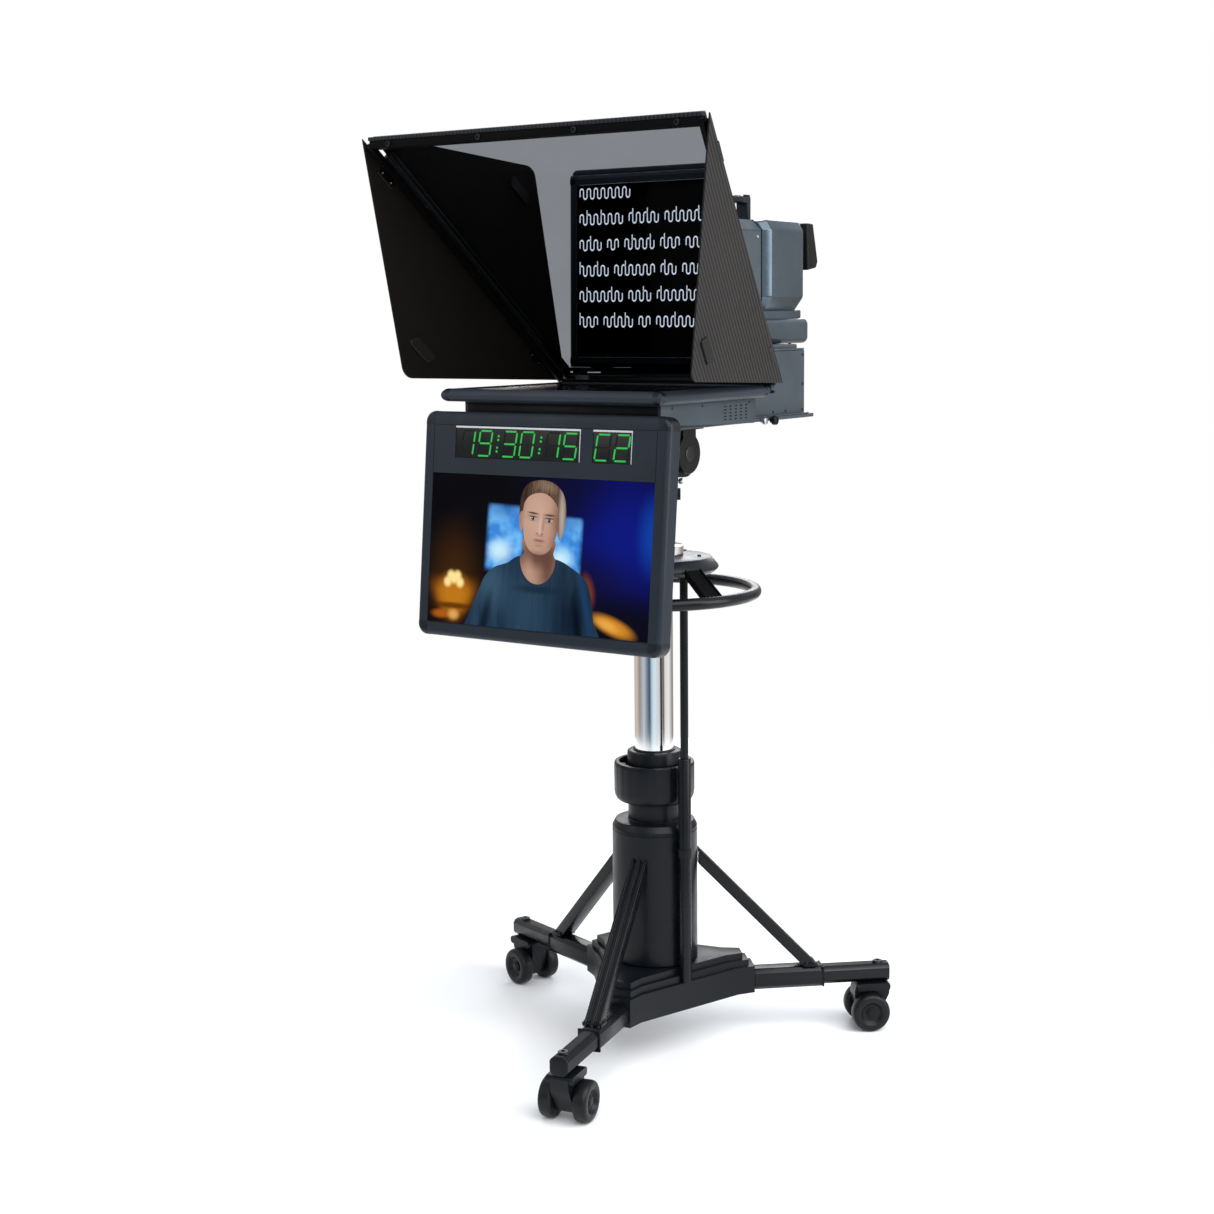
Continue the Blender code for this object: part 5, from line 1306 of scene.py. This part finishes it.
def build_picture(place, face):
    """The talent screen's picture, in thin layers of its own shapes."""
    screen = place @ Matrix.Translation((0, face + 0.0009, SCREEN["middle"]))
    screen = screen @ Matrix(((1, 0, 0, 0), (0, 0, -1, 0), (0, 1, 0, 0), (0, 0, 0, 1)))
    w, h = SCREEN["half"] - 0.0006, SCREEN["rise"] - 0.0006
    panel = cuboid((-SCREEN["half"] + 0.0003, face + 0.001, SCREEN["middle"] - SCREEN["rise"] + 0.0003),
                       (SCREEN["half"] - 0.0003, face + 0.0057, SCREEN["middle"] + SCREEN["rise"] - 0.0003),
                   0.0003, 1)
    piece("talent_panel", panel, PRESSED, "talent", place, ("talent_screen",))
    picture_layer("picture_background", [(-w, -h), (w, -h), (w, h), (-w, h)], 0, studio_background(), screen)
    shirt = smooth_outline([(-0.044, -0.006), (-0.07, -0.02), (-0.104, -0.032), (-0.128, -0.056),
                            (-0.144, -0.1), (-0.156, -0.136), (-0.16, -0.162), (0.0, -0.172), (0.146, -0.162),
                            (0.14, -0.12), (0.133, -0.078), (0.119, -0.044), (0.086, -0.022), (0.052, -0.008),
                            (0.004, -0.003)])
    shirt = [(x, max(y, -h)) for x, y in shirt]
    picture_layer("picture_shirt", shirt, 1, shirt_art(), screen)
    neck = smooth_outline([(-0.031, 0.03), (-0.031, 0.002), (-0.042, -0.012), (-0.037, -0.036),
                           (-0.021, -0.055), (0.002, -0.061), (0.025, -0.055), (0.04, -0.036),
                           (0.047, -0.012), (0.04, 0.002), (0.04, 0.03)])
    picture_layer("picture_neck", neck, 2, neck_art(), screen)
    head = screen @ Matrix.Translation((0.0025, 0.0, 0.0)) @ Matrix.Rotation(math.radians(-4.0), 4, "Z")
    back = smooth_outline([(-0.05, 0.06), (-0.054, 0.09), (-0.049, 0.12), (-0.032, 0.137), (-0.002, 0.142),
                           (0.026, 0.137), (0.046, 0.12), (0.055, 0.094), (0.056, 0.06), (0.05, 0.044),
                           (0.04, 0.06), (0.0, 0.1), (-0.042, 0.062)])
    picture_layer("picture_hair_back", back, 3, hair_art("picture_hair_dark", -30), head)
    skin = skin_art()
    for side in (-1, 1):
        ear = smooth_outline([(side * 0.044, 0.076), (side * 0.05, 0.078), (side * 0.0525, 0.066),
                              (side * 0.0505, 0.05), (side * 0.046, 0.041), (side * 0.043, 0.046)])
        picture_layer("picture_ear_" + ("left" if side < 0 else "right"), ear, 4, skin, head)
    oval = [(0.0, -0.0005), (0.013, 0.0015), (0.0245, 0.009), (0.0345, 0.024), (0.0405, 0.044),
            (0.0445, 0.068), (0.045, 0.09), (0.04, 0.11), (0.024, 0.126), (0.0, 0.13)]
    face_outline = smooth_outline(oval + [(-x, y) for x, y in reversed(oval[1:-1])])
    picture_layer("picture_head", face_outline, 5, skin, head)
    sweep = smooth_outline([(-0.0475, 0.082), (-0.051, 0.098), (-0.0475, 0.12), (-0.032, 0.137),
                            (-0.004, 0.144), (0.024, 0.14), (0.046, 0.124), (0.0565, 0.098), (0.0585, 0.068),
                            (0.054, 0.042), (0.047, 0.034), (0.044, 0.054), (0.042, 0.078), (0.035, 0.098),
                            (0.02, 0.112), (0.002, 0.119), (-0.018, 0.117), (-0.034, 0.109), (-0.043, 0.096),
                            (-0.045, 0.082)])
    sweep = [(x, min(y, h - 0.004)) for x, y in sweep]
    picture_layer("picture_hair_front", sweep, 6, hair_art("picture_hair_light", 14), head)
    arcs = []
    for centre, radii in (((0.003, -0.01), (0.0475, 0.053)), ((0.003, -0.008), (0.0425, 0.05))):
        angles = [math.radians(180 + 180 * i / 24) for i in range(25)]
        arcs.append([(centre[0] + radii[0] * math.cos(a), centre[1] + radii[1] * math.sin(a))
                     for a in angles])
    art = Painting("picture_collar", (0.016, 0.038, 0.064))
    picture_layer("picture_collar", arcs[0], 3, art.lit(), screen, arcs[1])


# ---------------------------------------------------------------- camera
CAMERA = {"half": 0.085, "front": 0.12, "split": 0.3107, "low": 1.5533, "top": 1.768, "shoulder": 0.022}
LENS_HEIGHT = 1.672


def body_slice(grow, y0, y1, low, high):
    """A length of the camera body between two heights, with its sloped shoulders."""
    half = CAMERA["half"] + grow
    top, shoulder = CAMERA["top"] + grow, CAMERA["shoulder"]
    if high < top - shoulder:
        outline = [(-half, low), (half, low), (half, high), (-half, high)]
    else:
        outline = [(-half, low), (half, low), (half, top - shoulder), (half - shoulder, top),
                   (-half + shoulder, top), (-half, top - shoulder)]
    return slab(outline, y0, y1)


def build_camera_body():
    place = AT_COLUMN
    y0, y1 = CAMERA["front"], CAMERA["split"]
    upper = soften(body_slice(0.0, y0, y1, 1.5925, CAMERA["top"]), 0.003, 3, 25)
    piece("camera_upper", upper, SHEET, "camera", place, ("camera_body",))
    lower = soften(body_slice(-0.0004, y0, y1, CAMERA["low"], 1.5918), 0.0015, 2, 25)
    piece("camera_lower", lower, GLOSS_BLACK, "camera", place)
    doors = []
    for side in (-1, 1):
        outline = rounded((0.129, 1.596), (0.302, 1.742), 0.006, 4)
        x = side * CAMERA["half"]
        door = prism(outline, lambda p, end, x=x,
                     side=side: (x + side * (-0.0005 + 0.0016 * end), p[0], p[1]))
        doors.append(soften(door, 0.0006, 2, 50))
    piece("camera_doors", join(*doors), PANEL, "camera", place)
    spots = [((side * 0.0861, y, z), (side, 0, 0)) for side in (-1, 1)
             for y, z in ((0.25, 1.68), (0.14, 1.607), (0.291, 1.607), (0.14, 1.731), (0.291, 1.731))]
    screw_set("camera_screws", spots, 0.0034, 0.0016, STEEL, "camera", place)
    controls = []
    for i in range(4):
        controls.append(cuboid((-0.088, 0.15 + i * 0.03, 1.624), (-0.086, 0.166 + i * 0.03, 1.632), 0.0007,
                               2))
    for y in (0.165, 0.215, 0.265):
        dial = frame_at((-0.086, y, 1.658), (0, -90, 0))
        controls.append(moved(knurled_knob(0.008, 0.007, 12, 0.0004), dial))
    piece("camera_controls", join(*controls), BLACK, "camera", place)
    seam = soften(body_slice(0.0006, y1 - 0.0026, y1 - 0.0004, 1.5925, CAMERA["top"]), 0.0004, 1)
    piece("camera_seam", seam, FLAT_BLACK, "camera", place)
    plate = cuboid((-0.04, 0.14, 1.7678), (0.04, 0.178, 1.7694), 0.0006, 2)
    piece("camera_top_plate", plate, SHEET, "camera", place)


def shell_mesh():
    """The bulging rear shell: sides that fall to a broad facet underneath, drawn in at both ends."""
    half, low, high = 0.1, 1.566, 1.768

    def section(y, inset):
        outline = [(half - inset, low + 0.036), (half - inset, high - 0.02),
                   (half - 0.012 - inset, high - inset * 0.3), (-half + 0.012 + inset, high - inset * 0.3),
                   (-half + inset, high - 0.02), (-half + inset, low + 0.036),
                   (-half + 0.026 + inset, low + inset * 0.6), (half - 0.026 - inset, low + inset * 0.6)]
        return [(x, y, z) for x, z in outline]

    shell = loft([section(0.311, 0.014), section(0.33, 0.0), section(0.47, 0.0), section(0.514, 0.024)])
    bmesh.ops.recalc_face_normals(shell, faces=shell.faces)
    return soften(shell, 0.004, 4, 15)


def build_camera_rear():
    place = AT_COLUMN
    piece("camera_shell", shell_mesh(), SHELL, "camera", place, ("camera_rear_shell",), 30)
    base = cuboid((-0.095, 0.16, 1.4998), (0.095, 0.512, 1.556), 0.014, 6, 40)
    neck = cuboid((-0.078, 0.322, 1.54), (0.078, 0.502, 1.574), 0.003, 2, 40)
    piece("camera_underbody", join(base, neck), SHELL, "camera", place, ("camera_base",), 40)
    vents = []
    for i in range(9):
        z = 1.64 + i * 0.0085
        vents.append(cuboid((-0.1003, 0.436, z), (-0.0995, 0.466, z + 0.0018), 0.0002, 1))
    piece("camera_vents", join(*vents), FLAT_BLACK, "camera", place)
    rear_plate = soften(slab(rounded((-0.07, 1.606), (0.07, 1.655), 0.006, 4), 0.513, 0.5152), 0.0005, 2, 50)
    piece("camera_connector_plate", rear_plate, SHEET, "camera", place)
    sockets = []
    for x in (-0.06, -0.036, -0.012):
        ring = [(0.0048, 0), (0.0082, 0), (0.0082, 0.003), (0.0074, 0.0036), (0.0048, 0.0036)]
        sockets.append(moved(turned(ring, 32, True), frame_at((x, 0.5148, 1.6285), (-90, 0, 0))))
        pin = [(0, 0), (0.0014, 0), (0.0014, 0.003), (0, 0.0032)]
        sockets.append(moved(turned(pin, 16), frame_at((x, 0.5148, 1.6285), (-90, 0, 0))))
    piece("camera_sockets", join(*sockets), STEEL, "camera", place)
    port = soften(slab(rounded((0.014, 1.614), (0.066, 1.643), 0.004, 4), 0.5148, 0.5162), 0.0005, 2, 50)
    piece("camera_port_cover", port, GRIP, "camera", place)
    bolts = [((x, y, 1.4996), (0, 0, 1)) for x in (-0.112, 0.112) for y in (0.152, 0.27, 0.388)]
    screw_set("camera_plate_screws", bolts, 0.0036, 0.0022, DARK_STEEL, "camera", place)
    refined("camera_plate", PANEL, "camera", 0.0012, 2, 40)


def build_handle():
    refined("camera_handle", SLATE, "camera", 0.0022, 3, 40)
    place = AT_COLUMN
    grip = cuboid((-0.0165, 0.212, 1.8075), (0.0165, 0.352, 1.8224), 0.004, 4)
    piece("handle_grip", grip, GRIP, "camera", place)
    shoe = join(cuboid((-0.013, 0.36, 1.8219), (0.013, 0.3845, 1.8236), 0.0004, 1),
                cuboid((-0.013, 0.36, 1.8236), (-0.0095, 0.3845, 1.8262), 0.0004, 1),
                cuboid((0.0095, 0.36, 1.8236), (0.013, 0.3845, 1.8262), 0.0004, 1))
    piece("handle_shoe", shoe, DARK_STEEL, "camera", place)
    feet = [cuboid((-0.021, y0, 1.768), (0.021, y1, 1.7716), 0.001, 2) for y0,
            y1 in ((0.181, 0.205), (0.366, 0.39))]
    piece("handle_feet", join(*feet), BLACK, "camera", place)
    spots = [((x, y, 1.7714), (0, 0, 1)) for x in (-0.0178, 0.0178) for y in (0.193, 0.378)]
    screw_set("handle_screws", spots, 0.0024, 0.0018, STEEL, "camera", place)


def build_lens():
    place = frame_at((COLUMN.x, COLUMN.y + 0.1197, LENS_HEIGHT), (90, 0, 0))
    length = 0.1497
    barrel = [(0, 0), (0.036, 0), (0.036, 0.02), (0.04, 0.0222), (0.042, 0.024), (0.042, 0.048),
              (0.0414, 0.0485), (0.0414, 0.096), (0.042, 0.0965), (0.042, length - 0.035),
              (0.048, length - 0.033), (0.0505, length - 0.02), (0.052, length - 0.004),
              (0.052, length - 0.0006), (0.0514, length), (0.0465, length), (0.046, length - 0.001),
              (0.042, length - 0.012), (0.0, length - 0.0122)]
    piece("lens_body", turned(barrel, 96), BLACK, "camera", place, ("lens_barrel",), 30)
    element = [(0.0, length - 0.012), (0.0412, length - 0.012), (0.0405, length - 0.0108)]
    element += [(0.0405 * (1 - i / 10), length - 0.0108 + 0.0062 * (1 - (1 - i / 10) ** 2))
                for i in range(1, 11)]
    piece("lens_element", turned(element, 72), LENS, "camera", place, (), 40)
    teeth = 60
    ring = [(0.0426, 0.0502), (0.0476, 0.0502), (0.0488, 0.0518), (0.049, 0.053), (0.049, 0.092),
            (0.0488, 0.0932), (0.0476, 0.0948), (0.0426, 0.0948)]
    grip = fluted(turned(ring, teeth * 4, True), 0.0485,
                  lambda vert, angle: 0.0007 * (0.5 + 0.5 * math.cos(angle * teeth)))
    piece("focus_grip", grip, GRIP, "focus", place, ("focus_ring",), 60)


def build_viewfinder():
    refined("viewfinder", BLACK, "viewfinder", 0.002, 2, 40)
    place = joint_frame("viewfinder_flip")
    slope = math.atan2(0.052 - 0.029, 0.084)
    face = place @ Matrix.Translation((0, 0.029, 0.0)) @ Matrix.Rotation(slope, 4, "X")
    glass = soften(slab(rounded((-0.078, -0.076), (0.078, -0.012), 0.003, 3), -0.0006, 0.0008), 0.0004, 1, 50)
    piece("viewfinder_glass", glass, PRESSED, "viewfinder", face)
    buttons = [cuboid((x - 0.006, -0.0004, -0.0095), (x + 0.006, 0.0008, -0.005), 0.0005, 1)
               for x in (-0.045, -0.015, 0.015, 0.045)]
    piece("viewfinder_buttons", join(*buttons), CAP, "viewfinder", face)


# ---------------------------------------------------------------- stage, light and view
def build_stage():
    floor_mesh = turned([(0, -0.02), (3.0, -0.02), (3.0, 0.0), (0, 0.0)], 96)
    bmesh.ops.recalc_face_normals(floor_mesh, faces=floor_mesh.faces)
    mesh = mesh_of("studio_floor", floor_mesh)
    look = Look("floor_paint")
    look.set(base_color=look.mix(look.noise(0.8, 3.0), (0.87, 0.87, 0.87), (0.89, 0.89, 0.89)),
             roughness=0.75)
    look.set(specular_ior_level=0.2)
    mesh.materials.append(look.material)
    floor = placed("studio_floor", mesh)


def build_world():
    """White behind the object; round it a studio of pale walls and dark flags under an even ceiling."""
    world = bpy.data.worlds.new("studio")
    bpy.context.scene.world = world
    world.use_nodes = True
    sky = Nodes(world.node_tree, "Generated")
    split = sky.node("ShaderNodeSeparateXYZ")
    sky.feed(split.inputs[0], sky.place)
    share = sky.span(sky.math("ARCTAN2", split.outputs["Y"], split.outputs["X"]), -math.pi, math.pi)
    walls = sky.ramp(share, [((angle + 180) / 360, colour) for angle, colour in (
        (-178, (0.75, 0.67, 0.6)), (-150, (0.36, 0.32, 0.29)), (-118, (0.62, 0.68, 0.74)),
        (-96, (0.2, 0.27, 0.35)), (-82, (0.05, 0.08, 0.12)), (-66, (0.62, 0.82, 0.95)),
        (-48, (0.85, 0.95, 1.0)), (-22, (0.7, 0.7, 0.72)), (2, (0.1, 0.08, 0.07)),
        (14, (0.95, 0.92, 0.9)), (44, (1.0, 0.98, 0.96)), (80, (0.32, 0.29, 0.27)),
        (120, (0.55, 0.5, 0.45)), (178, (0.75, 0.67, 0.6)))])
    heights = sky.span(split.outputs["Z"], 0.05, 0.45, smooth=True)
    ground = sky.tree.nodes["Background"]
    sky.feed(ground.inputs["Color"], sky.mix(heights, walls, (0.8, 0.83, 0.88)))
    ground.inputs["Strength"].default_value = 0.9
    white = sky.node("ShaderNodeBackground")
    white.inputs["Color"].default_value = (1.0, 1.0, 1.0, 1.0)
    path = sky.node("ShaderNodeLightPath")
    mixer = sky.node("ShaderNodeMixShader")
    for socket, value in zip(mixer.inputs,
                             (path.outputs["Is Camera Ray"], ground.outputs[0], white.outputs[0])):
        sky.feed(socket, value)
    sky.feed(sky.tree.nodes["World Output"].inputs["Surface"], mixer.outputs[0])


def add_light(name, kind, location, target, energy, size, colour=(1.0, 1.0, 1.0)):
    light = bpy.data.lights.new(name, kind)
    light.energy = energy
    light.color = colour
    if kind == "SUN":
        light.angle = math.radians(size)
    else:
        light.shape = "RECTANGLE"
        light.size, light.size_y = size
    made = placed(name, light)
    made.location = location
    made.rotation_euler = (Vector(target) - made.location).to_track_quat("-Z", "Y").to_euler()


def build_lights():
    middle = (0.0, 0.0, 1.1)
    add_light("key_from_right", "SUN", (4.0, -2.2, 5.2), (0, 0, 0), 2.3, 60.0)
    add_light("side_softbox", "AREA", (3.2, 0.6, 1.9), middle, 60.0, (1.6, 2.4), (0.93, 0.97, 1.0))
    add_light("front_softbox", "AREA", (-2.6, -3.4, 2.6), middle, 12.0, (1.8, 1.8), (1.0, 0.96, 0.92))
    add_light("back_softbox", "AREA", (-1.6, 3.2, 2.4), middle, 40.0, (2.0, 1.6), (0.94, 0.97, 1.0))


def build_view():
    """The photograph's viewpoint, fitted to the rig's edges."""
    forward = Vector((-0.5589, 0.8157, -0.1492)).normalized()
    right = forward.cross(Vector((0, 0, 1))).normalized()
    up = right.cross(forward)
    roll = math.radians(-0.596)
    across = right * math.cos(roll) + up * math.sin(roll)
    above = up * math.cos(roll) - right * math.sin(roll)
    turn = Matrix((across, above, -forward)).transposed().to_4x4()
    turn.translation = Vector((2.266, -3.4381, 1.5691))
    data = bpy.data.cameras.new("view")
    data.sensor_width = 36.0
    data.lens = 57.59
    data.clip_end = 200.0
    bpy.context.scene.camera = placed("view", data, turn)
    bpy.context.scene.view_settings.view_transform = "Standard"


def main():
    build_view()
    build_stage()
    build_world()
    build_lights()
    build_dolly()
    build_casters()
    build_column()
    build_head()
    build_sled()
    build_prompter()
    build_glass()
    build_hood(-1, "left")
    build_hood(1, "right")
    build_talent_monitor()
    build_camera_body()
    build_camera_rear()
    build_handle()
    build_lens()
    build_viewfinder()


main()
